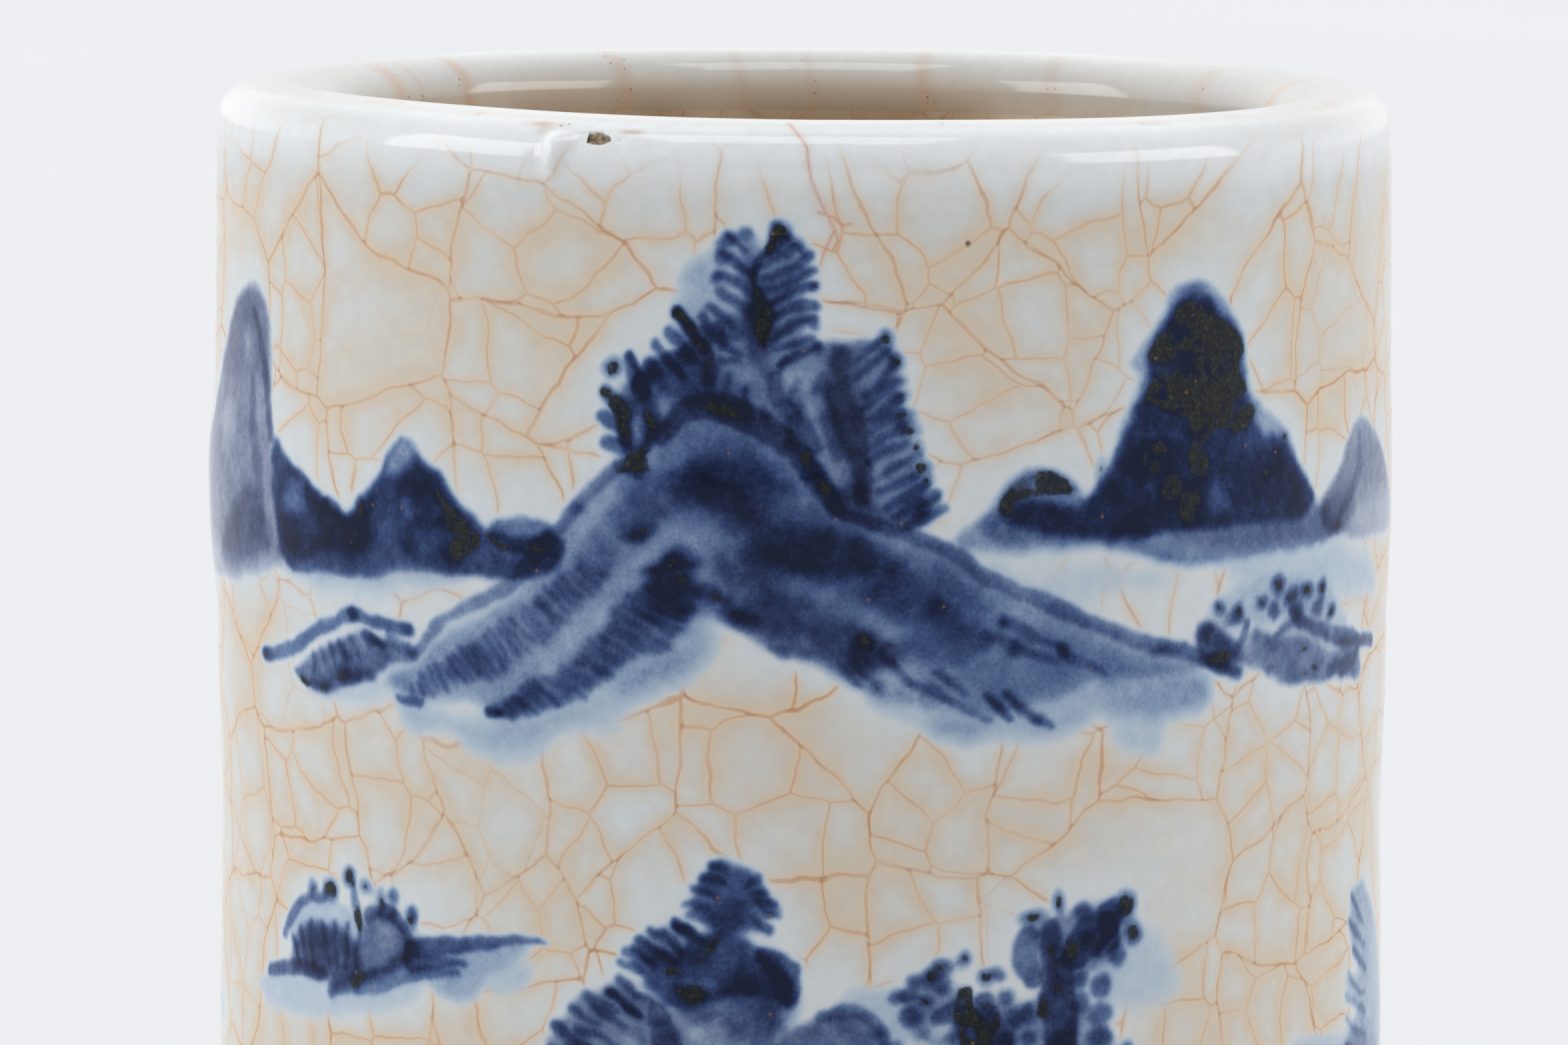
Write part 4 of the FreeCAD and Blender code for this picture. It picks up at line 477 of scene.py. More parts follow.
def smooth(x, a, b):
    t = np.clip((x - a) / (b - a), 0.0, 1.0)
    return t * t * (3 - 2 * t)


# ------------------------------------------------------------------ the shape
# Outside radius down the wall, with its low throwing ridge and faint waist.
PROFILE = np.array(
    [
        (-2.0, 49.98), (3.0, 50.02), (7.0, 50.08), (13.4, 50.11), (20.0, 50.20),
        (24.5, 50.26), (27.2, 50.42), (30.0, 50.60), (33.0, 50.69), (36.5, 50.63),
        (39.5, 50.56), (41.6, 50.44), (44.0, 50.24), (47.5, 50.23), (51.5, 50.18),
        (56.0, 50.05), (61.5, 49.92), (67.0, 50.00), (72.0, 50.10), (78.0, 50.18),
        (90.0, 50.20), (105.0, 50.16), (116.0, 50.12), (127.0, 50.08),
    ]
)
_fine_v = np.linspace(-2, 127, 2581)
_fine_r = np.interp(_fine_v, PROFILE[:, 0], PROFILE[:, 1])
_kernel = np.exp(-0.5 * (np.arange(-60, 61) * 0.05 / 1.1) ** 2)
_kernel /= _kernel.sum()
_fine_r = np.convolve(np.pad(_fine_r, 60, mode="edge"), _kernel, mode="valid")

swell = Noise(11, 42, 30)
ripple = Noise(12, 16, 9)
peel = Noise(13, 2.6, 2.2)


def wall_radius(theta, v):
    """Radius of the glazed wall at an angle round from the front."""
    r = np.interp(v, _fine_v, _fine_r)
    ridge = np.exp(-(((v - 34.5) / 8.5) ** 2))
    r = r - 0.22 * ridge * np.sin(theta)
    u = theta * ROUND
    r = r + 0.07 * swell(u, v) + 0.022 * ripple(u, v) + 0.004 * peel(u, v)
    return r


def lip_rise(theta):
    """How far the hand-cut rim stands above or below level."""
    return (
        0.34 * np.cos(theta + 0.9)
        + 0.07 * np.sin(2 * theta + 0.6)
        + 0.05 * np.sin(3 * theta + 2.1)
        + 0.03 * np.sin(7 * theta + 0.4)
    )


def lip_dip(theta):
    """Where the top of the rim alone stands higher or lower."""
    at = np.radians([-180, -140, -118, -100, -85, -62, -49, -39, -22, 0, 22, 38, 60, 80, 98, 120, 142, 180])
    by = np.array([-25, -30, -35, -30, 0, 30, 25, 15, 0, -20, -22, -28, -32, -34, -34, -32, -28, -25]) / 100
    return np.maximum(np.interp(theta, at, by), np.minimum(-0.40 - lip_rise(theta), 0.0))


def lifted(theta, z):
    return z + smooth(z, 70.0, 121.0) * lip_rise(theta) + smooth(z, 108.0, 122.0) * lip_dip(theta)


def lip_thickness(theta):
    return 5.65 + 0.12 * np.sin(2 * theta + 1.0) + 0.10 * np.sin(5 * theta + 0.3) - 0.1


# the columns of the grids are closer together over the front
_front = np.arange(-1.66, 1.66, 0.0030)
_back = np.linspace(1.66, 2 * math.pi - 1.66, 460, endpoint=False)
THETA = np.concatenate([_front, _back])
THETA = np.where(THETA > math.pi, THETA - 2 * math.pi, THETA)
THETA = np.sort(THETA)
COLS = len(THETA)
WALL_Z = np.concatenate([np.arange(2.95, 38.0, 0.25), np.arange(38.0, 119.42, 0.155)])
WALL_Z = np.append(WALL_Z, 119.5)


# ------------------------------------------------------------ brush and paper
class Canvas:
    """Depth, violet and heaped cobalt at every corner of the wall's grid."""

    def __init__(self):
        self.u = THETA * ROUND
        self.v = TOP - WALL_Z  # falls as z grows
        self.depth = np.zeros((len(self.v), COLS), np.float32)
        self.violet = np.zeros_like(self.depth)
        self.heap = np.zeros_like(self.depth)
        uu, vv = np.meshgrid(self.u, self.v)
        self.uu = uu.astype(np.float32)
        self.vv = vv.astype(np.float32)
        edge1, edge2 = Noise(21, 1.1), Noise(22, 1.1)
        edge3, edge4 = Noise(23, 3.4), Noise(24, 3.4)
        tooth = Noise(25, 0.45)
        edge5, edge6 = Noise(31, 0.5), Noise(32, 0.5)
        self.wu = (
            self.uu + 0.17 * edge1(uu, vv) + 0.20 * edge3(uu, vv) + 0.07 * edge5(uu, vv)
        ).astype(np.float32)
        self.wv = (
            self.vv + 0.17 * edge2(uu, vv) + 0.20 * edge4(uu, vv) + 0.07 * edge6(uu, vv)
        ).astype(np.float32)
        self.tooth = tooth(uu, vv).astype(np.float32)
        self.cloud = (0.6 * Noise(26, 2.3)(uu, vv) + 0.4 * Noise(27, 1.0)(uu, vv)).astype(np.float32)
        self.broad = Noise(28, 6.0)(uu, vv).astype(np.float32)
        self.crust = (0.5 * Noise(29, 0.8)(uu, vv) + 0.5 * Noise(30, 1.7)(uu, vv)).astype(np.float32)

    def window(self, ulo, uhi, vlo, vhi):
        """The row and column slices that a box covers, once for each lap."""
        rows = np.nonzero((self.v >= vlo) & (self.v <= vhi))[0]
        if len(rows) == 0:
            return
        for lap in (-LAP, 0.0, LAP):
            cols = np.nonzero((self.u >= ulo + lap) & (self.u <= uhi + lap))[0]
            if len(cols):
                yield (
                    slice(rows[0], rows[-1] + 1),
                    slice(cols[0], cols[-1] + 1),
                    lap,
                )

    def lay(self, where, amount, violet, heap, mask, mottle):
        if mottle:
            texture = 1.0 + mottle * (
                1.1 * self.cloud[where] + 0.5 * self.broad[where] + 0.35 * self.tooth[where]
            )
            texture = np.clip(texture, 0.15, 2.2)
        else:
            texture = 1.0 + 0.12 * self.tooth[where]
        added = amount * mask * texture
        self.depth[where] += added
        self.violet[where] += added * violet
        if heap:
            crust = np.clip(0.5 + 1.6 * (heap - 0.74) + 0.9 * self.crust[where], 0, 1)
            cover = np.clip(mask * crust * 1.15, 0, 1) * min(1.0, heap + 0.05)
            self.heap[where] = 1 - (1 - self.heap[where]) * (1 - cover)

    def outline(self, where, lap, points, soft):
        """How far inside a closed outline each corner is, 0 to 1."""
        pu = self.wu[where] - lap
        pv = self.wv[where]
        best = np.full(pu.shape, 1e9, np.float32)
        inside = np.zeros(pu.shape, bool)
        count = len(points)
        for i in range(count):
            au, av = points[i]
            bu, bv = points[(i + 1) % count]
            du, dv = bu - au, bv - av
            length = du * du + dv * dv
            if length < 1e-9:
                continue
            t = np.clip(((pu - au) * du + (pv - av) * dv) / length, 0, 1)
            best = np.minimum(best, (pu - au - t * du) ** 2 + (pv - av - t * dv) ** 2)
            if abs(dv) > 1e-9:
                crosses = (av > pv) != (bv > pv)
                at = au + (pv - av) * (du / dv)
                inside ^= crosses & (pu < at)
        far = np.sqrt(best)
        far = np.where(inside, -far, far)
        return smooth(-far, -soft, soft)

    def fill(self, amount, violet, heap, soft, mottle, points):
        points = rounded(points, True)
        us = [p[0] for p in points]
        vs = [p[1] for p in points]
        pad = soft + 0.7
        for rows, cols, lap in self.window(min(us) - pad, max(us) + pad, min(vs) - pad, max(vs) + pad):
            where = (rows, cols)
            self.lay(where, amount, violet, heap, self.outline(where, lap, points, soft), mottle)

    def lift(self, share, soft, points):
        points = rounded(points, True)
        us = [p[0] for p in points]
        vs = [p[1] for p in points]
        pad = soft + 0.7
        for rows, cols, lap in self.window(min(us) - pad, max(us) + pad, min(vs) - pad, max(vs) + pad):
            where = (rows, cols)
            keep = 1 - share * self.outline(where, lap, points, soft)
            self.depth[where] *= keep
            self.violet[where] *= keep

    def line(self, amount, violet, heap, widths, points, soft=0.19):
        points = rounded(points, False)
        path = np.array(points, float)
        step = np.hypot(*(path[1:] - path[:-1]).T)
        along = np.concatenate([[0], np.cumsum(step)]) / max(step.sum(), 1e-9)
        radius = np.interp(along, [0, 0.45, 1], widths) / 2
        pad = max(widths) / 2 + soft + 0.7
        lo, hi = path.min(0) - pad, path.max(0) + pad
        for rows, cols, lap in self.window(lo[0], hi[0], lo[1], hi[1]):
            where = (rows, cols)
            pu = self.wu[where] - lap
            pv = self.wv[where]
            best = np.full(pu.shape, 1e9, np.float32)
            for i in range(len(path) - 1):
                au, av = path[i]
                du, dv = path[i + 1] - path[i]
                length = du * du + dv * dv
                if length < 1e-9:
                    continue
                t = np.clip(((pu - au) * du + (pv - av) * dv) / length, 0, 1)
                away = np.sqrt((pu - au - t * du) ** 2 + (pv - av - t * dv) ** 2)
                best = np.minimum(best, away - (radius[i] * (1 - t) + radius[i + 1] * t))
            self.lay(where, amount, violet, heap, smooth(-best, -soft, soft), 0.25)

    def comb(self, amount, violet, heap, width, number, tips, roots, rng, wild=0.5):
        tips = spaced(rounded(tips, False), number)
        roots = spaced(rounded(roots, False), number)
        for i in range(number):
            a = tips[i] + rng.uniform(-0.16, 0.16, 2) * (1 + wild)
            b = roots[i] + rng.uniform(-0.18, 0.18, 2) * (1 + wild)
            a = a + (b - a) * rng.uniform(-0.10, 0.22) * wild
            side = np.array([-(b - a)[1], (b - a)[0]])
            bend = (a + b) / 2 + side * rng.uniform(-0.08, 0.08)
            w = 0.74 * width * rng.uniform(1 - 0.4 * wild, 1 + 0.5 * wild)
            self.line(
                1.25 * amount * rng.uniform(1 - 0.45 * wild, 1 + 0.45 * wild), violet, heap,
                (w * 0.9, w, w * 0.65), [tuple(a), tuple(bend), tuple(b)],
            )

    def soften(self):
        """The glaze blurs the brushwork a little as it melts."""
        for name, cells in (("depth", 0.95), ("violet", 1.5), ("heap", 0.7)):
            field = getattr(self, name)
            half = int(math.ceil(cells * 3))
            kernel = np.exp(-0.5 * (np.arange(-half, half + 1) / cells) ** 2)
            kernel /= kernel.sum()
            padded = np.concatenate([field[:, -half:], field, field[:, :half]], 1)
            out = sum(k * padded[:, i: i + COLS] for i, k in enumerate(kernel))
            padded = np.pad(out, ((half, half), (0, 0)), mode="edge")
            out = sum(k * padded[i: i + len(self.v)] for i, k in enumerate(kernel))
            setattr(self, name, out.astype(np.float32))
        wide = self.depth
        for cells in (4.6,):
            half = 13
            kernel = np.exp(-0.5 * (np.arange(-half, half + 1) / cells) ** 2)
            kernel /= kernel.sum()
            padded = np.concatenate([wide[:, -half:], wide, wide[:, :half]], 1)
            out = sum(k * padded[:, i: i + COLS] for i, k in enumerate(kernel))
            padded = np.pad(out, ((half, half), (0, 0)), mode="edge")
            wide = sum(k * padded[i: i + len(self.v)] for i, k in enumerate(kernel))
        share = self.violet / np.maximum(self.depth, 1e-4)
        self.depth = (0.87 * self.depth + 0.13 * wide).astype(np.float32)
        self.violet = (share * self.depth).astype(np.float32)

    def dot(self, amount, violet, heap, u, v, ru, rv):
        pad = 1.0
        for rows, cols, lap in self.window(u - ru - pad, u + ru + pad, v - rv - pad, v + rv + pad):
            where = (rows, cols)
            pu = (self.wu[where] - lap - u) / ru
            pv = (self.wv[where] - v) / rv
            rim = (np.sqrt(pu * pu + pv * pv) - 1) * min(ru, rv)
            # the heaped middle sits in a slightly wider pool of plain cobalt
            self.lay(where, amount, violet, 0, smooth(-rim, -0.55, 0.25), 0.2)
            if heap:
                mask = smooth(-rim, -0.10, 0.28)
                self.heap[where] = 1 - (1 - self.heap[where]) * (
                    1 - np.clip(mask * heap * (0.94 + 0.3 * self.crust[where]), 0, 1)
                )


def rounded(points, closed):
    """A smooth curve through the points."""
    p = np.array(points, float)
    n = len(p)
    if n < 3:
        return [tuple(x) for x in p]
    out = []
    count = n if closed else n - 1
    for i in range(count):
        p0 = p[(i - 1) % n] if closed or i > 0 else 2 * p[0] - p[1]
        p1 = p[i]
        p2 = p[(i + 1) % n]
        p3 = p[(i + 2) % n] if closed or i + 2 < n else 2 * p[n - 1] - p[n - 2]
        steps = int(np.clip(np.hypot(*(p2 - p1)) / 0.7, 1, 6))
        for k in range(steps):
            t = k / steps
            out.append(
                tuple(
                    0.5
                    * (
                        2 * p1
                        + (p2 - p0) * t
                        + (2 * p0 - 5 * p1 + 4 * p2 - p3) * t * t
                        + (3 * p1 - p0 - 3 * p2 + p3) * t ** 3
                    )
                )
            )
    if not closed:
        out.append(tuple(p[-1]))
    return out


def spaced(points, number):
    p = np.array(points, float)
    step = np.hypot(*(p[1:] - p[:-1]).T)
    along = np.concatenate([[0], np.cumsum(step)])
    want = np.linspace(0, along[-1], number)
    return np.stack([np.interp(want, along, p[:, 0]), np.interp(want, along, p[:, 1])], 1)


def paint(canvas, name, place=lambda p: p, seed=1, grow=1.0):
    rng = np.random.default_rng(seed)
    for mark in PAINTING[name]:
        kind = mark[0]
        if kind == "fill":
            canvas.fill(*mark[1:6], [place(p) for p in mark[6]])
        elif kind == "lift":
            canvas.lift(*mark[1:3], [place(p) for p in mark[3]])
        elif kind == "line":
            canvas.line(*mark[1:4], tuple(w * grow for w in mark[4]), [place(p) for p in mark[5]])
        elif kind == "comb":
            canvas.comb(
                *mark[1:4], mark[4] * grow, mark[5],
                [place(p) for p in mark[6]], [place(p) for p in mark[7]], rng,
            )
        elif kind == "dot":
            u, v = place((mark[4], mark[5]))
            canvas.dot(*mark[1:4], u, v, mark[6] * grow, mark[7] * grow)


def mirrored(about, to, grow=1.0, v0=0.0, dv=0.0):
    """A place function: mirrored left to right about one u and set down at another."""
    return lambda p: (to - (p[0] - about) * grow, v0 + (p[1] - v0) * grow + dv)


def moved(about, to, grow=1.0, v0=0.0, dv=0.0):
    return lambda p: (to + (p[0] - about) * grow, v0 + (p[1] - v0) * grow + dv)


canvas = Canvas()
for k, name in enumerate(
    ["tall_peak", "left_hills", "hill", "tree", "right_hills", "clump", "roof",
     "islet", "low_tree", "dot_tree", "feather"]
):
    paint(canvas, name, seed=100 + k)

# The rest of the way round: the same kinds of motif, set out afresh.
paint(canvas, "right_hills", mirrored(38, 112, 1.05, 40), 131)
paint(canvas, "left_hills", moved(-40, 152, 1.1, 42), 132)
paint(canvas, "hill", mirrored(0, 160, 0.92, 45, 1.0), 133)
paint(canvas, "tree", mirrored(0, 160, 0.92, 45, 1.0), 134)
paint(canvas, "clump", mirrored(46, 108, 1.0, 50), 135)
paint(canvas, "tall_peak", mirrored(-62, -104, 0.8, 42), 136)
paint(canvas, "roof", mirrored(-40, 96, 1.0, 50, 4), 137)
paint(canvas, "right_hills", moved(38, -128, 0.8, 44), 138)
paint(canvas, "low_tree", moved(-13, 150, 0.95, 90, 2), 139)
paint(canvas, "islet", mirrored(-50, 104, 1.1, 75), 140)
paint(canvas, "dot_tree", mirrored(12, -122, 0.95, 75), 141)
paint(canvas, "feather", mirrored(60, -84, 1.0, 75), 142)
canvas.soften()


# ------------------------------------------------- how near the cobalt is
def spread_out(field, radius):
    """The painted field, widened and blurred by about radius mm."""
    cell = 0.6
    nu, nv = int(round(LAP / cell)), int(124 / cell)
    uu = (np.arange(nu) + 0.5) * (LAP / nu) - LAP / 2
    vv = (np.arange(nv) + 0.5) * cell
    col = np.clip(np.searchsorted(canvas.u, uu), 0, COLS - 1)
    down = canvas.v[::-1]
    row = len(down) - 1 - np.clip(np.searchsorted(down, vv), 0, len(down) - 1)
    coarse = field[np.ix_(row, col)]
    half = int(math.ceil(2.2 * radius / cell))
    kernel = np.exp(-0.5 * (np.arange(-half, half + 1) * cell / radius) ** 2)
    kernel /= kernel.sum()
    wide = np.concatenate([coarse[:, -half:], coarse, coarse[:, :half]], 1)
    wide = np.apply_along_axis(lambda a: np.convolve(a, kernel, "valid"), 1, wide)
    tall = np.pad(wide, ((half, half), (0, 0)), mode="edge")
    tall = np.apply_along_axis(lambda a: np.convolve(a, kernel, "valid"), 0, tall)

    a = (canvas.u + LAP / 2) / (LAP / nu) - 0.5
    b = np.clip(canvas.v / cell - 0.5, 0, nv - 1.001)
    i, j = np.floor(a).astype(int), np.floor(b).astype(int)
    fa, fb = (a - i)[None, :], (b - j)[:, None]
    i0, i1 = i % nu, (i + 1) % nu
    low = tall[np.ix_(j, i0)] * (1 - fa) + tall[np.ix_(j, i1)] * fa
    high = tall[np.ix_(j + 1, i0)] * (1 - fa) + tall[np.ix_(j + 1, i1)] * fa
    return (low * (1 - fb) + high * fb).astype(np.float32)


painted = np.clip((canvas.depth - 0.10) / 0.22, 0, 1)
near = spread_out(painted, 0.9)
around = spread_out(painted, 3.0)
clean = np.clip(1.3 * near, 0, 1)
wide_clean = np.clip(1.7 * around, 0, 1)
violet_share = np.clip(1.25 * canvas.violet / np.maximum(canvas.depth, 1e-4) - 0.22, 0, 1)


# -------------------------------------------------------------------- meshes
def grid_mesh(name, rows, closed_rows=False, cap_first=False, cap_last=False):
    """A closed band of quads through rings of points, all with COLS columns or fewer.

    rows is an array (ring, column, 3) in millimetres.
    """
    count, cols = rows.shape[:2]
    points = rows.reshape(-1, 3) * MM
    ring = np.arange(cols)
    after = (ring + 1) % cols
    faces = []
    last = count if closed_rows else count - 1
    for i in range(last):
        j = (i + 1) % count
        faces.append(
            np.stack([i * cols + ring, i * cols + after, j * cols + after, j * cols + ring], 1)
        )
    faces = np.concatenate(faces)
    extra_points, extra_tris = [], []
    total = len(points)
    if cap_first:
        extra_points.append(rows[0].mean(0) * MM)
        extra_tris.append(np.stack([np.full(cols, total), after, ring], 1))
        total += 1
    if cap_last:
        base = (count - 1) * cols
        extra_points.append(rows[-1].mean(0) * MM)
        extra_tris.append(np.stack([np.full(cols, total), base + ring, base + after], 1))
        total += 1
    if extra_points:
        points = np.concatenate([points, np.array(extra_points)])
    mesh = bpy.data.meshes.new(name)
    tris = np.concatenate(extra_tris) if extra_tris else np.zeros((0, 3), int)
    mesh.vertices.add(len(points))
    mesh.vertices.foreach_set("co", points.astype(np.float32).ravel())
    corners = np.concatenate([faces.ravel(), tris.ravel()]).astype(np.int32)
    mesh.loops.add(len(corners))
    mesh.loops.foreach_set("vertex_index", corners)
    starts = np.concatenate(
        [np.arange(len(faces)) * 4, len(faces) * 4 + np.arange(len(tris)) * 3]
    ).astype(np.int32)
    mesh.polygons.add(len(starts))
    mesh.polygons.foreach_set("loop_start", starts)
    mesh.polygons.foreach_set("use_smooth", np.ones(len(starts), bool))
    mesh.update(calc_edges=True)
    mesh.validate()
    return mesh, corners


def piece(name, mesh, material, node=None):
    obj = bpy.data.objects.new(name, mesh)
    bpy.context.scene.collection.objects.link(obj)
    mesh.materials.append(material)
    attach(obj, "root")
    if node:
        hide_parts(node)
    return obj


def add_field(mesh, name, values):
    layer = mesh.attributes.new(name, "FLOAT", "POINT")
    layer.data.foreach_set("value", np.asarray(values, np.float32).ravel())


def add_uv(mesh, name, corner_uv):
    layer = mesh.uv_layers.new(name=name)
    layer.data.foreach_set("uv", np.asarray(corner_uv, np.float32).ravel())


def make_band(name, theta, rings, fields, material, node, down, caps=(False, False), closed=False):
    """A band round the pot, with fields by ring and column and both UV maps.

    down is each ring's distance along the surface in mm, from the lip.
    """
    mesh, corners = grid_mesh(name, rings, closed_rows=closed, cap_first=caps[0], cap_last=caps[1])
    cols = len(theta)
    count = rings.shape[0]
    total = len(mesh.vertices)
    angle = np.tile(theta, count)
    way = np.repeat(down, cols)
    for _ in range(total - len(angle)):
        angle = np.append(angle, 0.0)
        way = np.append(way, down[0] if caps[0] else down[-1])
    n_quads = (count if closed else count - 1) * cols
    u = angle[corners].astype(np.float64)
    block = u[: n_quads * 4].reshape(n_quads, 4)
    torn = (block.max(1) - block.min(1)) > math.pi
    block[torn] = np.where(block[torn] < 0, block[torn] + 2 * math.pi, block[torn])
    u[: n_quads * 4] = block.reshape(-1)
    w = way[corners].astype(np.float64)
    if closed:
        # the last strip of quads runs from the last ring back to the first
        strip = w[(count - 1) * cols * 4: count * cols * 4].reshape(cols, 4)
        strip[:, 2:] = down[-1] + 0.5
        w[(count - 1) * cols * 4: count * cols * 4] = strip.reshape(-1)
    add_uv(mesh, "unroll", np.stack([u * ROUND / 10, w / 10], 1))
    low, high = w.min(), w.max()
    add_uv(
        mesh,
        "OFBake",
        np.stack(
            [
                0.004 + 0.992 * (u + math.pi) / (2 * math.pi + 0.01),
                0.996 - 0.992 * (w - low) / max(high - low, 1e-6),
            ],
            1,
        ),
    )
    for key, values in fields.items():
        flat = np.asarray(values, np.float32).reshape(-1)
        if len(flat) < total:
            flat = np.append(flat, np.full(total - len(flat), flat[-1], np.float32))
        add_field(mesh, key, flat)
    return piece(name, mesh, material, node)


# ----------------------------------------------------------------- materials
class Nodes:
    """Short names for the shader nodes used here."""

    def __init__(self, name):
        self.mat = bpy.data.materials.new(name)
        self.mat.use_nodes = True
        self.tree = self.mat.node_tree
        self.tree.nodes.clear()
        self.out = self.tree.nodes.new("ShaderNodeOutputMaterial")
        self.bsdf = self.tree.nodes.new("ShaderNodeBsdfPrincipled")
        self.tree.links.new(self.bsdf.outputs[0], self.out.inputs[0])

    def node(self, kind, **props):
        n = self.tree.nodes.new(kind)
        for key, value in props.items():
            setattr(n, key, value)
        return n

    def put(self, socket, value):
        if isinstance(value, bpy.types.NodeSocket):
            self.tree.links.new(value, socket)
        elif value is not None:
            socket.default_value = value

    def math(self, op, a, b=None, c=None, clamp=False):
        n = self.node("ShaderNodeMath", operation=op, use_clamp=clamp)
        self.put(n.inputs[0], a)
        if b is not None:
            self.put(n.inputs[1], b)
        if c is not None:
            self.put(n.inputs[2], c)
        return n.outputs[0]

    def add(self, a, b):
        return self.math("ADD", a, b)

    def mul(self, a, b, clamp=False):
        return self.math("MULTIPLY", a, b, clamp=clamp)

    def sub(self, a, b):
        return self.math("SUBTRACT", a, b)

    def span(self, value, a, b, to_a=0.0, to_b=1.0, kind="SMOOTHSTEP"):
        n = self.node("ShaderNodeMapRange", interpolation_type=kind)
        n.clamp = True
        self.put(n.inputs["Value"], value)
        self.put(n.inputs["From Min"], a)
        self.put(n.inputs["From Max"], b)
        self.put(n.inputs["To Min"], to_a)
        self.put(n.inputs["To Max"], to_b)
        return n.outputs["Result"]

    def field(self, name):
        return self.node("ShaderNodeAttribute", attribute_name=name).outputs["Fac"]

    def uv(self):
        return self.node("ShaderNodeUVMap", uv_map="unroll").outputs["UV"]

    def where(self):
        return self.node("ShaderNodeTexCoord").outputs["Object"]

    def noise(self, vector, size, detail=2.0, rough=0.5, out="Fac", distort=0.0, dims="3D"):
        """size is the noise's wavelength in the vector's own unit."""
        n = self.node("ShaderNodeTexNoise", noise_dimensions=dims)
        self.put(n.inputs["Vector"], vector)
        n.inputs["Scale"].default_value = 1.0 / size
        n.inputs["Detail"].default_value = detail
        n.inputs["Roughness"].default_value = rough
        n.inputs["Distortion"].default_value = distort
        return n.outputs[out]

    def cells(self, vector, size, feature="DISTANCE_TO_EDGE", dims="2D", random=1.0, out=None):
        n = self.node("ShaderNodeTexVoronoi", voronoi_dimensions=dims, feature=feature)
        self.put(n.inputs["Vector"], vector)
        n.inputs["Scale"].default_value = 1.0 / size
        n.inputs["Randomness"].default_value = random
        return n.outputs[out or ("Distance" if feature != "F1" else "Color")]

    def mix(self, share, a, b, kind="MIX"):
        n = self.node("ShaderNodeMix", data_type="RGBA", blend_type=kind)
        n.clamp_factor = True
        self.put(n.inputs[0], share)
        self.put(n.inputs[6], a if isinstance(a, bpy.types.NodeSocket) else (*a, 1.0) if len(a) == 3 else a)
        self.put(n.inputs[7], b if isinstance(b, bpy.types.NodeSocket) else (*b, 1.0) if len(b) == 3 else b)
        return n.outputs[2]

    def ramp(self, value, stops, kind="LINEAR"):
        n = self.node("ShaderNodeValToRGB")
        self.put(n.inputs[0], value)
        n.color_ramp.interpolation = kind
        bar = n.color_ramp.elements
        while len(bar) > 1:
            bar.remove(bar[-1])
        bar[0].position = stops[0][0]
        bar[0].color = (*stops[0][1], 1.0)
        for at, colour in stops[1:]:
            e = bar.new(at)
            e.color = (*colour, 1.0)
        return n.outputs[0]

    def vmath(self, op, a, b=None, scale=None):
        n = self.node("ShaderNodeVectorMath", operation=op)
        self.put(n.inputs[0], a)
        if b is not None:
            self.put(n.inputs[1], b)
        if scale is not None:
            self.put(n.inputs[3], scale)
        return n.outputs[0]

    def bump(self, height, distance, strength=1.0, normal=None):
        n = self.node("ShaderNodeBump")
        n.inputs["Strength"].default_value = strength
        n.inputs["Distance"].default_value = distance
        self.put(n.inputs["Height"], height)
        if normal is not None:
            self.put(n.inputs["Normal"], normal)
        return n.outputs[0]


def rgb(r, g, b):
    """An sRGB colour as linear light."""
    out = []
    for c in (r, g, b):
        c = c / 255
        out.append(c / 12.92 if c <= 0.04045 else ((c + 0.055) / 1.055) ** 2.4)
    return tuple(out)


def dye(white, absorb, depth):
    return tuple(w * math.exp(-a * depth) for w, a in zip(white, absorb))


def crackle(k, uv, size, seed, wobble=1.0):
    """Distance to the nearest crack of a net, in centimetres, and its cells' colour.

    The fine net starts afresh in every cell of the coarse one, so its cracks
    stop where they meet a coarse crack.
    """
    shift = k.node("ShaderNodeMapping")
    shift.inputs["Location"].default_value = (seed * 3.17, seed * 1.31, 0)
    k.put(shift.inputs["Vector"], uv)
    base = shift.outputs[0]
    slow = k.noise(base, 1.5, 0.0, out="Color")
    quick = k.noise(base, 0.36, 1.0, 0.5, out="Color")
    bent = k.vmath("MULTIPLY_ADD", slow, None)
    n = bent.node
    n.inputs[1].default_value = (0.62 * wobble, 0.62 * wobble, 0)
    k.put(n.inputs[2], base)
    bent2 = k.vmath("MULTIPLY_ADD", quick, None)
    n = bent2.node
    n.inputs[1].default_value = (0.135 * wobble, 0.135 * wobble, 0)
    k.put(n.inputs[2], bent)
    tiny_bend = k.noise(base, 0.075, 1.0, 0.5, out="Color")
    bent3 = k.vmath("MULTIPLY_ADD", tiny_bend, None)
    n = bent3.node
    n.inputs[1].default_value = (0.018 * wobble, 0.018 * wobble, 0)
    k.put(n.inputs[2], bent2)
    bent2 = bent3
    coarse = k.cells(bent2, size * 1.9, random=0.86)
    which = k.cells(bent2, size * 1.9, feature="F1", random=0.86)
    jump = k.vmath("MULTIPLY_ADD", which, None)
    n = jump.node
    n.inputs[1].default_value = (9.0, 9.0, 0)
    k.put(n.inputs[2], bent2)
    fine = k.cells(jump, size, random=0.78)
    tint = k.cells(jump, size, feature="F1", random=0.78)
    # Blender gives these distances in cells, so they are turned back to centimetres
    return k.mul(coarse, size * 1.9), k.mul(fine, size), which, tint, base


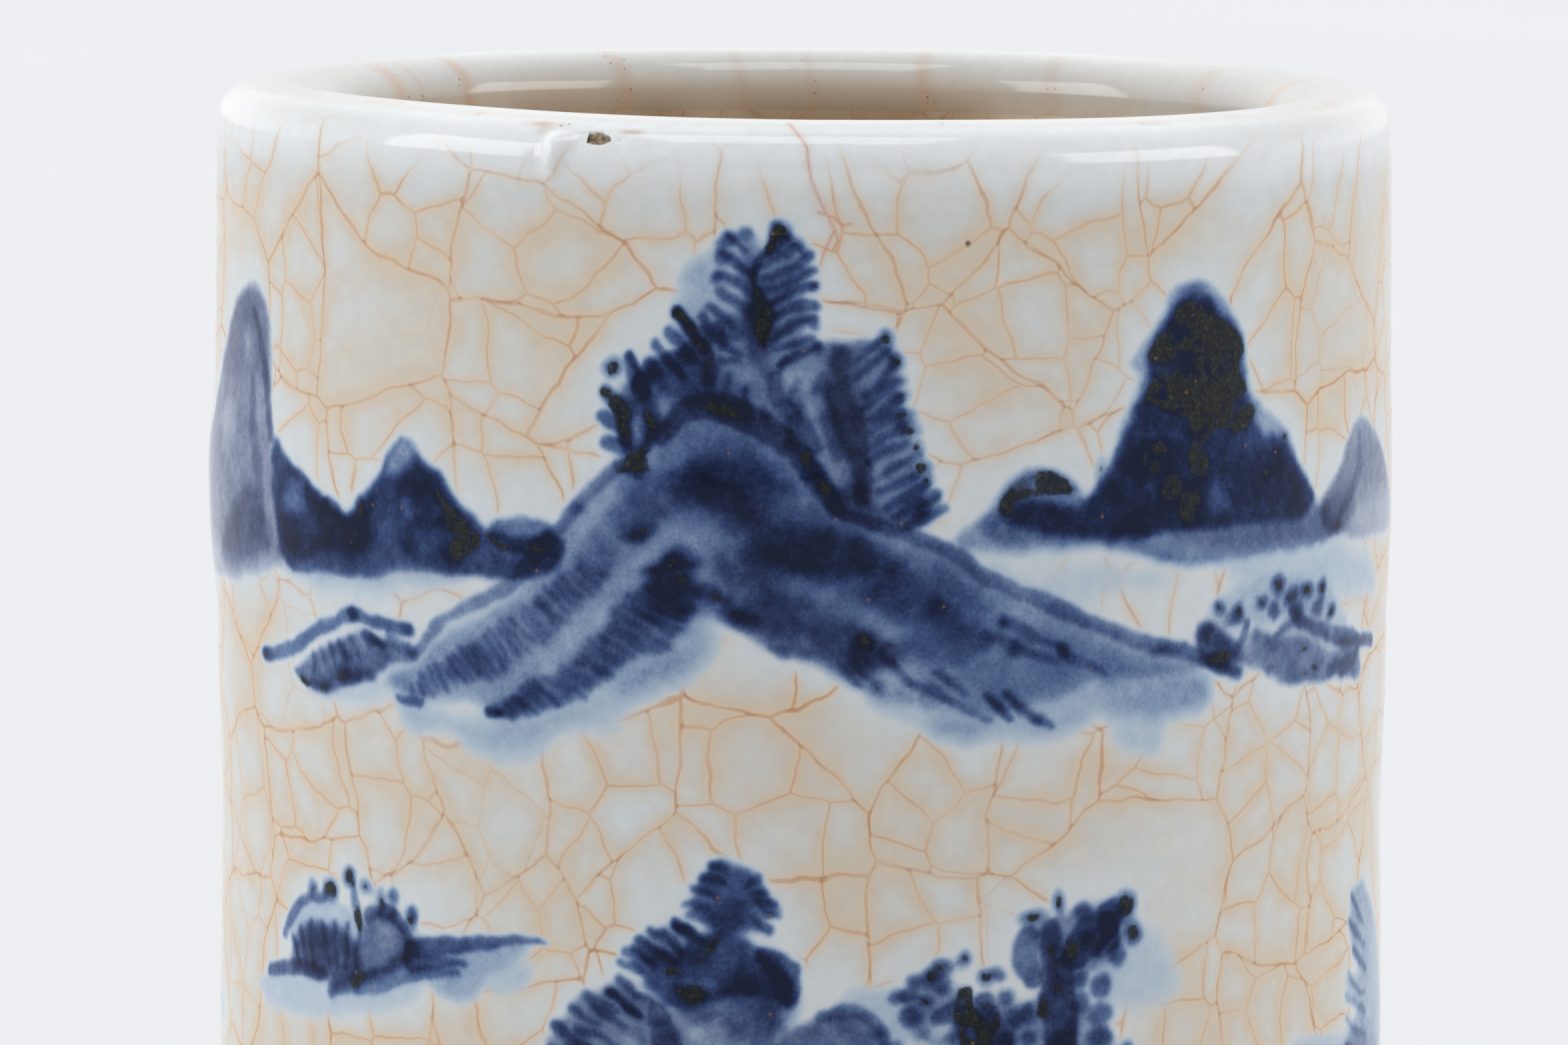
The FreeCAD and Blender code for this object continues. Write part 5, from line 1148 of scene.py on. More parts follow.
def seam_free(k, uv):
    """Unrolled place with the join at the back moved on to a wandering line.

    Gives the place to use for patterns, and the distance to that line in cm.
    """
    parts = k.node("ShaderNodeSeparateXYZ")
    k.put(parts.inputs[0], uv)
    u, v = parts.outputs[0], parts.outputs[1]
    down = k.node("ShaderNodeCombineXYZ")
    k.put(down.inputs[1], v)
    slow = k.noise(down.outputs[0], 2.1, 1.0)
    quick = k.noise(down.outputs[0], 0.5, 2.0)
    line = k.add(k.mul(k.sub(slow, 0.5), 1.1), k.mul(k.sub(quick, 0.5), 0.25))
    line = k.add(line, math.pi * ROUND / 10 - 0.7)
    over = k.math("GREATER_THAN", u, line)
    wrapped = k.sub(u, k.mul(over, LAP / 10))
    place = k.node("ShaderNodeCombineXYZ")
    k.put(place.inputs[0], wrapped)
    k.put(place.inputs[1], v)
    return place.outputs[0], v, k.math("ABSOLUTE", k.sub(u, line))


LIP_WHITE = (0.79, 0.812, 0.822)
WHITE = (0.612, 0.645, 0.657)
CREAM = (0.622, 0.547, 0.450)
SAND = (0.572, 0.478, 0.375)
CRACK = rgb(190, 143, 106)
HALO = rgb(218, 190, 158)


def glaze_material(name, inside=False, shine=0.5):
    """Crackled glaze: bluish white, stained along and between its cracks."""
    k = Nodes(name)
    uv = k.uv()
    place, v, seam = seam_free(k, uv)
    where = k.where()

    cobalt = k.field("cobalt")
    violet = k.field("violet")
    heap = k.field("heap")
    clean = k.field("clean")
    apart = k.field("apart")
    chip = k.field("chip")
    rust = k.field("rust")
    scar = k.field("scar")

    # --- the crackle: two nets, the finer one inside the coarser one's cells
    coarse, fine, which, tint, base = crackle(k, place, 0.60, 3.0)
    parts = k.node("ShaderNodeSeparateColor")
    k.put(parts.inputs[0], which)
    cell_a, cell_b = parts.outputs[0], parts.outputs[1]
    parts = k.node("ShaderNodeSeparateColor")
    k.put(parts.inputs[0], tint)
    cell_c = parts.outputs[0]

    # where the crackle shows at all
    drift = k.noise(base, 2.6, 2.0, 0.5)
    patch = k.noise(base, 1.1, 2.0, 0.5, distort=0.4)
    if inside:
        reach = k.span(drift, 0.3, 0.7, 0.35, 1.0)
    else:
        lip_edge = k.add(v, k.mul(k.sub(patch, 0.5), 0.5))
        below_lip = k.span(lip_edge, 0.10, 0.62)
        shy = k.add(k.mul(apart, 0.34), k.mul(clean, 0.62))
        shy = k.add(shy, k.mul(k.sub(drift, 0.5), 1.1))
        open_zone = k.sub(1.0, k.span(shy, 0.40, 0.74))
        reach = k.mul(below_lip, open_zone)
    fine_here = k.mul(reach, k.span(cell_a, 0.10, 0.42, 0.0, 1.0))

    vary = k.noise(base, 0.55, 2.0, 0.6)
    ink = k.span(vary, 0.30, 0.68, 0.22, 1.0, "LINEAR")
    faint = k.span(drift, 0.35, 0.68, 0.62, 1.0)

    def band(distance, core):
        return k.sub(1.0, k.span(distance, core * 0.35, core))

    seam_near = seam
    core = k.math(
        "MAXIMUM",
        k.mul(band(coarse, 0.0195), 1.0),
        k.math("MAXIMUM", k.mul(band(fine, 0.0160), k.mul(fine_here, 0.8)), band(seam_near, 0.015)),
    )
    halo = k.math(
        "MAXIMUM",
        k.sub(1.0, k.span(coarse, 0.0, 0.105, kind="LINEAR")),
        k.math(
            "MAXIMUM",
            k.mul(k.sub(1.0, k.span(fine, 0.0, 0.095, kind="LINEAR")), fine_here),
            k.sub(1.0, k.span(seam_near, 0.0, 0.06, kind="LINEAR")),
        ),
    )
    bleed = k.math(
        "MAXIMUM",
        k.sub(1.0, k.span(coarse, 0.0, 0.27)),
        k.mul(k.sub(1.0, k.span(fine, 0.0, 0.24)), fine_here),
    )
    core = k.mul(k.mul(core, ink), k.mul(faint, reach))
    halo = k.mul(k.mul(k.mul(halo, halo), faint), reach)
    # darker where two cracks meet
    knot = k.mul(band(coarse, 0.030), band(fine, 0.030))
    knot = k.mul(k.mul(knot, reach), fine_here)

    # --- colour of the glaze between the cracks
    mottled = k.noise(base, 0.16, 3.0, 0.65)
    soaked = k.noise(base, 0.42, 2.0, 0.6)
    stain = k.add(k.mul(cell_c, 0.16), k.add(k.mul(patch, 0.95), k.mul(soaked, 0.35)))
    if not inside:
        stain = k.sub(stain, k.mul(apart, 0.45))
    stain = k.span(stain, 0.46, 0.96)
    stain = k.add(k.mul(stain, 0.62), k.mul(k.mul(bleed, k.span(soaked, 0.25, 0.7, 0.45, 1.0)), 0.80))
    if inside:
        body = k.mix(k.span(patch, 0.3, 0.7), rgb(226, 226, 222), rgb(220, 210, 196))
    else:
        open_wide = k.sub(1.0, k.span(apart, 0.10, 0.70))
        stain = k.mul(k.mul(stain, open_wide), k.span(v, 0.25, 1.0))
        stain = k.math("MINIMUM", stain, 1.0)
        pale = k.mix(k.span(v, 0.15, 0.75), LIP_WHITE, WHITE)
        body = k.mix(stain, pale, CREAM)
        deep = k.mul(k.mul(k.span(drift, 0.48, 0.72), open_wide), k.span(v, 0.6, 1.3))
        body = k.mix(k.mul(deep, 0.35), body, SAND)
    grain = k.span(mottled, 0.3, 0.7, 0.965, 1.03, "LINEAR")
    body = k.mix(1.0, body, k_grey(k, grain), "MULTIPLY")

    # --- cracks over it
    body = k.mix(k.mul(halo, 0.78), body, HALO)
    body = k.mix(k.mul(core, 0.80), body, CRACK)
    body = k.mix(k.mul(knot, 0.45), body, rgb(172, 118, 80))
    body = k.mix(k.mul(scar, 0.85), body, rgb(200, 136, 96))

    if not inside:
        # painted shade: greyer along the top of the rim, and darker still on the rim's left and right sides as seen
        # from the front
        body = k.mix(1.0, body, k.ramp(k.span(v, -0.16, 0.0), [
            (0.0, (0.80, 0.785, 0.765)), (1.0, (1.0, 1.0, 1.0)),
        ]), "MULTIPLY")
        # painted shade on the rim's left and right sides, by their distance to the left or right of the middle
        across = k.node("ShaderNodeSeparateXYZ")
        k.put(across.inputs[0], where)
        painted_side_shade = k.span(k.math("ABSOLUTE", across.outputs[0]), 0.026, 0.044)
        painted_side_shade = k.mul(painted_side_shade, k.sub(1.0, k.span(v, 0.05, 0.42)))
        body = k.mix(k.mul(painted_side_shade, 0.85), body, k.mix(1.0, body, (0.72, 0.71, 0.69), "MULTIPLY"))
    # --- brown soaked into the glaze inside the well, with painted shadow in it: deeper downwards, lighter on the right
    stain_and_shadow = k.ramp(k.field("stain_and_shadow"), [
        (0.0, (1.0, 1.0, 1.0)), (0.2, (0.985, 0.925, 0.845)), (0.4, (0.965, 0.85, 0.72)),
        (0.6, (0.90, 0.74, 0.60)), (0.8, (0.76, 0.61, 0.46)), (1.0, (0.62, 0.48, 0.345)),
    ])
    body = k.mix(1.0, body, stain_and_shadow, "MULTIPLY")

    if not inside:
        # --- cobalt under the glaze, deeper where the brush lay longer
        speck = k.noise(where, 0.00032, 2.0, 0.7)
        cloudy = k.noise(where, 0.0011, 3.0, 0.6)
        amount = k.mul(cobalt, k.span(speck, 0.25, 0.75, 0.86, 1.16, "LINEAR"))
        amount = k.mul(amount, k.span(cloudy, 0.25, 0.75, 0.88, 1.14, "LINEAR"))
        # how much red, green and blue each depth of cobalt takes out of the light
        blue = k.ramp(amount, [(d, dye(WHITE, (x, y, z), 1.0)) for d, x, y, z in (
            (0.00, 0.0, 0.0, 0.0), (0.05, 0.19, 0.12, 0.04), (0.10, 0.42, 0.28, 0.11), (0.17, 0.80, 0.57, 0.27),
            (0.26, 1.42, 1.08, 0.58), (0.36, 1.98, 1.54, 0.86), (0.48, 2.62, 2.12, 1.23), (0.62, 3.28, 2.74, 1.66),
            (0.80, 4.05, 3.50, 2.35), (1.00, 4.55, 4.05, 2.95),
        )])
        plum = k.ramp(amount, [(d, dye(WHITE, (x, y, z), 1.0)) for d, x, y, z in (
            (0.00, 0.0, 0.0, 0.0), (0.05, 0.19, 0.165, 0.09), (0.10, 0.42, 0.37, 0.21), (0.17, 0.78, 0.70, 0.43),
            (0.26, 1.38, 1.25, 0.82), (0.36, 1.92, 1.74, 1.14), (0.48, 2.55, 2.35, 1.62), (0.62, 3.22, 3.00, 2.14),
            (0.80, 4.00, 3.80, 2.85), (1.00, 4.50, 4.30, 3.40),
        )])
        ink_colour = k.mix(violet, blue, plum)
        shown = k.span(amount, 0.0, 0.07)
        body = k.mix(shown, body, ink_colour)
        # --- heaped places: rusty black, matt and a little proud
        crumbs = k.noise(where, 0.00036, 4.0, 0.75)
        crust = k.noise(where, 0.0010, 4.0, 0.65)
        ragged = k.add(heap, k.mul(k.sub(crust, 0.5), 1.35))
        heaped = k.mul(k.span(ragged, 0.34, 0.88), k.span(heap, 0.05, 0.35))
        dark = k.mix(k.span(crust, 0.34, 0.64), rgb(14, 20, 34), rgb(34, 38, 34))
        dark = k.mix(k.mul(k.span(crumbs, 0.50, 0.66), 0.7), dark, rgb(66, 66, 54))
        dark = k.mix(k.mul(k.span(crumbs, 0.66, 0.76), 0.7), dark, rgb(128, 104, 66))
        body = k.mix(k.mul(heaped, 0.94), body, dark)
        # a rusty grain here and there where the cobalt is deep
        speckle = k.cells(where, 0.00085, feature="F1", dims="3D", out="Distance")
        some = k.node("ShaderNodeSeparateColor")
        k.put(some.inputs[0], k.cells(where, 0.00085, feature="F1", dims="3D", out="Color"))
        grainy = k.mul(k.sub(1.0, k.span(speckle, 0.10, 0.26)), k.math("GREATER_THAN", some.outputs[0], 0.955))
        grainy = k.mul(grainy, k.span(amount, 0.22, 0.45))
        body = k.mix(k.mul(grainy, 0.65), body, rgb(120, 92, 66))
        # --- specks and pinholes
        pin = k.cells(where, 0.0052, feature="F1", dims="3D", out="Distance")
        pin_tint = k.cells(where, 0.0052, feature="F1", dims="3D", out="Color")
        some = k.node("ShaderNodeSeparateColor")
        k.put(some.inputs[0], pin_tint)
        dot = k.mul(
            k.sub(1.0, k.span(pin, 0.010, 0.030)), k.math("GREATER_THAN", some.outputs[0], 0.80)
        )
        body = k.mix(k.mul(dot, 0.55), body, rgb(122, 104, 90))
        # --- rust stain and the chip's bare floor
        body = k.mix(rust, body, rgb(196, 150, 112))
        dirt = k.cells(where, 0.00060, feature="F1", dims="3D", out="Distance")
        some = k.node("ShaderNodeSeparateColor")
        k.put(some.inputs[0], k.cells(where, 0.00060, feature="F1", dims="3D", out="Color"))
        dirty = k.mul(k.sub(1.0, k.span(dirt, 0.14, 0.30)), k.math("GREATER_THAN", some.outputs[0], 0.80))
        dirty = k.mul(dirty, k.span(rust, 0.03, 0.12))
        body = k.mix(k.mul(dirty, 0.6), body, rgb(104, 92, 80))
        bare = k.mix(k.span(k.noise(where, 0.0005, 3.0, 0.7), 0.35, 0.65), rgb(92, 74, 58), rgb(168, 146, 118))
        body = k.mix(chip, body, bare)

    k.put(k.bsdf.inputs["Base Color"], body)

    # --- how it shines
    peel = k.noise(where, 0.0021, 2.0, 0.5)
    fine_peel = k.noise(where, 0.0007, 2.0, 0.5)
    if inside:
        k.bsdf.inputs["Roughness"].default_value = 0.16
        groove = k.mul(core, -0.5)
        height = k.add(k.mul(peel, 0.7), groove)
        k.put(k.bsdf.inputs["Normal"], k.bump(height, 0.000016))
    else:
        rough = k.add(0.085, k.mul(heaped, 0.30))
        rough = k.add(rough, k.mul(chip, 0.5))
        rough = k.add(rough, k.mul(core, 0.10))
        k.put(k.bsdf.inputs["Roughness"], rough)
        lump = k.mul(heaped, k.span(crumbs, 0.3, 0.75))
        height = k.add(k.mul(peel, 0.55), k.mul(fine_peel, 0.10))
        height = k.add(height, k.mul(lump, 1.6))
        height = k.sub(height, k.mul(core, 0.45))
        height = k.sub(height, k.mul(dot, 1.5))
        k.put(k.bsdf.inputs["Normal"], k.bump(height, 0.000020))
    k.bsdf.inputs["IOR"].default_value = 1.5
    k.bsdf.inputs["Specular IOR Level"].default_value = shine
    return k.mat


def k_grey(k, value):
    n = k.node("ShaderNodeCombineColor")
    for i in range(3):
        k.put(n.inputs[i], value)
    return n.outputs[0]


def clay_material(name, light, dark, burnt=None):
    """Bare fired clay: fine grain, grit, and a burnt edge near the glaze."""
    k = Nodes(name)
    where = k.where()
    grain = k.noise(where, 0.0009, 4.0, 0.65)
    broad = k.noise(where, 0.011, 3.0, 0.5)
    colour = k.mix(k.span(grain, 0.3, 0.7), light, dark)
    colour = k.mix(k.mul(k.span(broad, 0.45, 0.75), 0.4), colour, rgb(190, 168, 142))
    grit = k.cells(where, 0.0023, feature="F1", dims="3D", out="Distance")
    grit_tint = k.cells(where, 0.0023, feature="F1", dims="3D", out="Color")
    some = k.node("ShaderNodeSeparateColor")
    k.put(some.inputs[0], grit_tint)
    dot = k.mul(k.sub(1.0, k.span(grit, 0.08, 0.2)), k.math("GREATER_THAN", some.outputs[0], 0.78))
    colour = k.mix(k.mul(dot, 0.7), colour, rgb(96, 76, 60))
    if burnt:
        edge = k.field("edge")
        uneven = k.span(k.noise(where, 0.006, 2.0, 0.5), 0.25, 0.7, 0.45, 1.0)
        colour = k.mix(k.mul(k.mul(edge, uneven), 0.85), colour, burnt)
    k.put(k.bsdf.inputs["Base Color"], colour)
    k.bsdf.inputs["Roughness"].default_value = 0.72
    k.bsdf.inputs["IOR"].default_value = 1.45
    height = k.add(k.mul(grain, 0.8), k.mul(dot, 0.5))
    k.put(k.bsdf.inputs["Normal"], k.bump(height, 0.00006))
    return k.mat


outside_glaze = glaze_material("crackled glaze", shine=0.10)
rim_glaze = glaze_material("rim glaze")
inside_glaze = glaze_material("inside glaze", inside=True)
bare_clay = clay_material("bare clay", rgb(222, 214, 200), rgb(206, 194, 176), rgb(178, 120, 74))
hidden_clay = clay_material("clay under the glaze", rgb(224, 218, 206), rgb(212, 204, 190))


# ----------------------------------------------------------- the glaze's skin
LIP_LOW_V = 4.0
OUT_ARC, IN_ARC = 7.0, 6.4  # the lip's round, outside and inside its crest
CROWN = OUT_ARC + IN_ARC
INNER_Z, CREST_Z = 121.3, 124.86


def inner_radius(theta, z):
    r = np.interp(z, [9.0, 12.0, 119.5, 122.0, 126.0], [40.9, 40.9, 40.62, 40.6, 40.6])
    u = theta * ROUND
    return r - 0.05 * ripple(u * 0.9, z) - 0.09 * np.sin(z / 1.9 + 0.8 * np.sin(theta)) * smooth(
        z, 12.0, 30.0
    ) * (1 - smooth(z, 104.0, 118.0))


def skin(theta, v):
    """Points of the glaze's surface, out, over the lip and down inside.

    v is the distance along the surface, 0 about halfway up the lip's outer
    round. theta and v are arrays of one shape.
    """
    theta, v = np.broadcast_arrays(theta, v)
    z_out = TOP - v
    r_out = wall_radius(theta, np.maximum(v, LIP_LOW_V))
    r_in = inner_radius(theta, np.full(theta.shape, INNER_Z))
    way = np.clip(LIP_LOW_V - v, 0, CROWN)
    turn = np.where(way < OUT_ARC, way / OUT_ARC, 1 + (way - OUT_ARC) / IN_ARC) * math.pi / 2
    # squarer than an ellipse outside, and rounder inside
    outer_half = turn < math.pi / 2
    share = np.where(outer_half, 0.53, 0.47)
    crest = r_out - 0.53 * (r_out - r_in)
    c, s = np.cos(turn), np.sin(turn)
    power = np.where(outer_half, 2 / 2.55, 2 / 2.1)
    r = crest + share * (r_out - r_in) * np.sign(c) * np.abs(c) ** power
    low = np.where(outer_half, TOP - LIP_LOW_V, INNER_Z)
    z = low + (CREST_Z - low) * np.abs(s) ** power
    z = np.where(v >= LIP_LOW_V, z_out, z)
    below = LIP_LOW_V - CROWN - v  # how far down inside
    z = np.where(below > 0, INNER_Z - below, z)
    r = np.where(v >= LIP_LOW_V, r_out, r)
    r = np.where(below > 0, inner_radius(theta, INNER_Z - np.maximum(below, 0)), r)
    u = theta * ROUND
    on_lip = (v < LIP_LOW_V) & (below <= 0)
    r = r + np.where(on_lip, 0.004 * peel(u, v + 20) * np.sin(turn), 0)
    z = z + np.where(on_lip, (0.014 * ripple(u, v + 40) + 0.002 * peel(u, v + 30)) * np.sin(turn), 0)
    z = lifted(theta, z)
    return np.stack([r * np.sin(theta), -r * np.cos(theta), z], -1)


def facing(theta, v, step=0.05):
    """Unit normals of the skin."""
    du = skin(theta + step / ROUND, v) - skin(theta - step / ROUND, v)
    dv = skin(theta, v - step) - skin(theta, v + step)
    n = np.cross(du, dv)
    return n / np.linalg.norm(n, axis=-1, keepdims=True)


BEAD = (math.radians(-23.3), 3.1)
CHIP = (math.radians(-19.6), 1.45)


def chip_mask(theta, v):
    """1 in the middle of the chip at the lip's outer edge, ragged round it."""
    u = (theta - CHIP[0]) * ROUND
    w = v - CHIP[1]
    ragged = 0.35 * ripple_small(theta * ROUND, v + 9) + 0.22 * tiny(theta * ROUND, v + 5)
    a = np.sqrt((u / 2.05) ** 2 + ((w - 0.10 * u * 0.2) / 0.72) ** 2) + ragged * 0.8
    return 1 - smooth(a, 0.72, 1.05)


ripple_small = Noise(41, 1.3, 1.0)
tiny = Noise(42, 0.5, 0.5)


def spot(theta, v, at_u, at_v, ru, rv, soft=0.4):
    a = np.sqrt(((theta * ROUND - at_u) / ru) ** 2 + ((v - at_v) / rv) ** 2)
    return 1 - smooth(a, 1 - soft, 1 + soft)


def ring_points(r, z):
    r, z = np.broadcast_to(r, (COLS,)), np.broadcast_to(z, (COLS,))
    return np.stack([r * np.sin(THETA), -r * np.cos(THETA), z], -1)


def lay_flat(mesh, reach, u_start, v_start):
    """Lays the pattern flat on the faces that are all within reach mm of the axis."""
    spots = np.empty(len(mesh.vertices) * 3)
    mesh.vertices.foreach_get("co", spots)
    spots = spots.reshape(-1, 3) / MM
    corner = np.empty(len(mesh.loops), np.int32)
    mesh.loops.foreach_get("vertex_index", corner)
    first = np.empty(len(mesh.polygons), np.int32)
    mesh.polygons.foreach_get("loop_start", first)
    size = np.empty(len(mesh.polygons), np.int32)
    mesh.polygons.foreach_get("loop_total", size)
    out = np.hypot(spots[:, 0], spots[:, 1])[corner]
    near = np.repeat(np.maximum.reduceat(out, first) < reach, size)
    layer = mesh.uv_layers["unroll"]
    uv = np.empty(len(corner) * 2, np.float32)
    layer.data.foreach_get("uv", uv)
    uv = uv.reshape(-1, 2)
    flat = spots[corner, :2] / 10 + np.array([u_start, v_start])
    uv[near] = flat[near]
    layer.data.foreach_set("uv", uv.ravel())


def crease(mesh, cols, rings):
    """Marks the edges that run round these rings as sharp."""
    ev = np.zeros(len(mesh.edges) * 2, np.int32)
    mesh.edges.foreach_get("vertices", ev)
    ev = ev.reshape(-1, 2) // cols
    sharp = np.zeros(len(mesh.edges), bool)
    for r in rings:
        sharp |= (ev[:, 0] == r) & (ev[:, 1] == r)
    layer = mesh.attributes.new("sharp_edge", "BOOLEAN", "EDGE")
    layer.data.foreach_set("value", sharp)


# ------------------------------------------------------------ the outer coat
scar_lines = [
    # u, v along the crack: from the lip down to a fork
    [(-1.6, -2.4), (-1.2, -1.0), (-0.5, 0.6), (0.15, 2.0), (0.2, 3.2), (0.45, 4.4), (1.2, 6.2), (2.3, 8.4)],
    [(2.3, 8.4), (1.5, 10.2), (1.2, 11.2), (0.8, 12.1)],
    [(1.0, 7.0), (2.2, 7.4), (2.9, 8.1), (3.6, 7.9)],
    [(2.3, 8.4), (2.6, 9.3), (2.2, 10.0)],
]


def scar_field(uu, vv):
    best = np.full(uu.shape, 9.0)
    for path in scar_lines:
        p = np.array(rounded(path, False))
        for i in range(len(p) - 1):
            au, av = p[i]
            du, dv = p[i + 1] - p[i]
            t = np.clip(((uu - au) * du + (vv - av) * dv) / (du * du + dv * dv), 0, 1)
            best = np.minimum(best, np.hypot(uu - au - t * du, vv - av - t * dv))
    return best


def scar_on(theta, v):
    u = theta * ROUND
    out = np.zeros(np.broadcast(u, v).shape, np.float32)
    uu, vv = np.broadcast_arrays(u, v)
    sel = (uu > -3) & (uu < 9) & (vv > -2) & (vv < 13)
    d = scar_field(uu[sel], vv[sel])
    out[sel] = 0.62 * (1 - smooth(d, 0.02, 0.15)) + 0.20 * (1 - smooth(d, 0.0, 0.7))
    return out


edge_wave = 0.16 * np.sin(3 * THETA + 0.4) + 0.10 * np.sin(8 * THETA + 1.0) + 0.05 * np.sin(19 * THETA)
wall_v = TOP - WALL_Z
rings = []
way = []
r_low = wall_radius(THETA, np.full(COLS, wall_v[0]))
for step in (0.0, 0.25, 0.5, 0.75):
    a = step * math.pi / 2
    rings.append(ring_points(r_low - 0.35 * (1 - math.sin(a)), 2.95 - 0.35 * math.cos(a) + edge_wave * (1 - step) * 0.8))
    way.append(wall_v[0] + 0.55 * (1 - step))
grid = skin(THETA[None, :], wall_v[:, None])
first_wall = len(rings)
rings = np.concatenate([np.array(rings), grid])
way = np.concatenate([way, wall_v])
skin_count = len(rings)
# the clay side, coarse
back = []
for z, r in ((119.5, 49.38), (112, 49.5), (79, 49.5), (44, 49.32), (9, 49.5), (2.95, 49.5)):
    back.append(ring_points(r, z))
back.append(ring_points(49.5, 2.6 + edge_wave * 0.8))
rings = np.concatenate([rings, np.array(back)])
way = np.concatenate([way, [5.3, 5.2, 5.1, 5.0, 4.9, 4.8, 4.7]])


def on_rings(field, before, after):
    field = np.concatenate([np.repeat(field[:1], before, 0), field, np.zeros((after, COLS), field.dtype)])
    return field


theta_grid, v_grid = np.meshgrid(THETA, wall_v)
scar_wall = scar_on(theta_grid, v_grid)
pit_wall = spot(theta_grid, v_grid, 12.96, 9.59, 0.22, 0.26, 0.5)
rust_wall = np.zeros_like(scar_wall)
fields = {
    "cobalt": on_rings(canvas.depth / 1.3, first_wall, len(back)),
    "violet": on_rings(violet_share, first_wall, len(back)),
    "heap": on_rings(canvas.heap, first_wall, len(back)),
    "clean": on_rings(clean, first_wall, len(back)),
    "apart": on_rings(wide_clean, first_wall, len(back)),
    "scar": on_rings(scar_wall, first_wall, len(back)),
    "chip": on_rings(pit_wall, first_wall, len(back)),
}
outer = make_band(
    "outer_coat", THETA, rings, fields, outside_glaze, "outer_glaze", way,
    closed=True,
)
crease(outer.data, COLS, [skin_count - 1, skin_count, len(rings) - 1, 0])

# --------------------------------------------------------------- the lip coat
lip_v = np.concatenate(
    [
        np.arange(5.5, LIP_LOW_V, -0.25),
        np.arange(LIP_LOW_V, LIP_LOW_V - CROWN, -0.12),
        np.arange(LIP_LOW_V - CROWN, LIP_LOW_V - CROWN - (INNER_Z - 119.5), -0.4),
        [LIP_LOW_V - CROWN - (INNER_Z - 119.5)],
    ]
)
tt, vv_lip = np.meshgrid(THETA, lip_v)
points = skin(tt, vv_lip)
normals = facing(tt, vv_lip)
chipped = chip_mask(tt, vv_lip)
points = points - normals * (
    chipped * (0.30 + 0.10 * tiny(tt * ROUND, vv_lip + 7) + 0.06 * ripple_small(tt * ROUND, vv_lip))
)[..., None]
lip_rings = [points]
lip_back = [
    ring_points(41.12, 119.5),
    ring_points(41.12, 121.6),
]
for step in (0.2, 0.35, 0.5, 0.65, 0.8):
    a = step * math.pi
    lip_back.append(ring_points(45.24 - 4.0 * math.cos(a), 121.8 + 2.2 * math.sin(a)))
lip_back.append(ring_points(49.38, 122.0))
lip_back.append(ring_points(49.38, 119.5))
lip_back = np.array(lip_back)
lip_back[:, :, 2] = lifted(THETA[None, :], lip_back[:, :, 2])
rings = np.concatenate([points, lip_back])
way = np.concatenate([lip_v, lip_v[-1] - 0.1 * np.arange(1, len(lip_back) + 1)])
u_lip = tt * ROUND
rust = np.maximum(spot(tt, vv_lip, -21.9, 0.0, 1.9, 0.42, 0.6), spot(tt, vv_lip, -21.5, 0.6, 0.75, 0.85, 0.7))
rust = 0.62 * rust * (0.6 + 0.4 * ripple_small(u_lip, vv_lip))
for at_u, at_v, ru, rv, much in (
    (-29.5, -1.2, 1.2, 0.5, 0.35), (-8.0, -1.6, 0.8, 0.3, 0.2), (12.0, -2.0, 1.6, 0.4, 0.22),
    (31.0, -1.0, 2.4, 0.5, 0.28), (40.0, -1.8, 3.0, 0.6, 0.30), (-41.0, -2.2, 3.4, 0.7, 0.30),
    (58.0, -1.5, 4.0, 0.8, 0.35), (-60.0, -2.0, 4.0, 0.7, 0.30), (-95.0, -1.2, 3.0, 0.6, 0.25),
    (100.0, -1.8, 3.4, 0.6, 0.25), (-14.2, 0.6, 0.9, 0.35, 0.5),
):
    patchy = np.clip(0.7 + 0.9 * ripple_small(u_lip, vv_lip + 3), 0, 1)
    rust = np.maximum(rust, much * spot(tt, vv_lip, at_u, at_v, ru, rv, 0.7) * patchy)
count_back = len(lip_back)
shade_noise = Noise(61, 7.0, 3.0)


def well_stain_and_shadow(theta, v):
    """How brown the glaze is inside, partly stain and partly painted shadow: more downwards, and less on the right,
    where the light falls in from the left.
    """
    down = np.interp(
        v, [-60.0, -30.0, -13.0, -11.2, -10.3, -9.4, -8.6, -7.8, -7.2, -6.2, -5.0],
        [0.62, 0.80, 0.97, 0.88, 0.70, 0.48, 0.29, 0.15, 0.08, 0.03, 0.0],
    )
    at = np.radians([-180, -150, -130, -115, -95, -60, 0, 60, 100, 120, 138, 150, 165, 180])
    much = np.interp(theta, at, [1.0, 0.97, 0.86, 0.62, 0.45, 0.8, 0.8, 0.7, 0.30, 0.28, 0.42, 0.72, 0.95, 1.0])
    return np.clip(down * (much + 0.16 * shade_noise(theta * ROUND, v) * (down > 0.05)), 0, 1)


# brown cracks down the inside of the rim, by degrees round, width and strength
for at, half_width, much in (
    (-118, 1.1, 0.42), (-132.5, 0.8, 0.45), (-124, 0.5, 0.2), (-157, 0.8, 0.30), (-173, 0.6, 0.22), (-180, 0.5, 0.18),
    (165, 0.8, 0.30), (146, 1.0, 0.2), (121, 1.3, 0.22), (101, 1.2, 0.45), (70, 0.7, 0.3), (-80, 0.8, 0.3), (30, 0.7, 0.3),
    (-30, 0.6, 0.25),
):
    far_u = (tt - math.radians(at) + math.pi) % (2 * math.pi) - math.pi
    bend = 0.9 * shade_noise(np.full_like(tt, at * 1.0), vv_lip * 1.5) + 0.12 * (vv_lip + 7)
    streak = np.exp(-(((far_u * 41.0 - bend) / half_width) ** 2)) * smooth(-vv_lip, 3.2, 5.6)
    rust = np.maximum(rust, much * streak)


def lip_field(values):
    return np.concatenate([values.astype(np.float32), np.zeros((count_back, COLS), np.float32)])


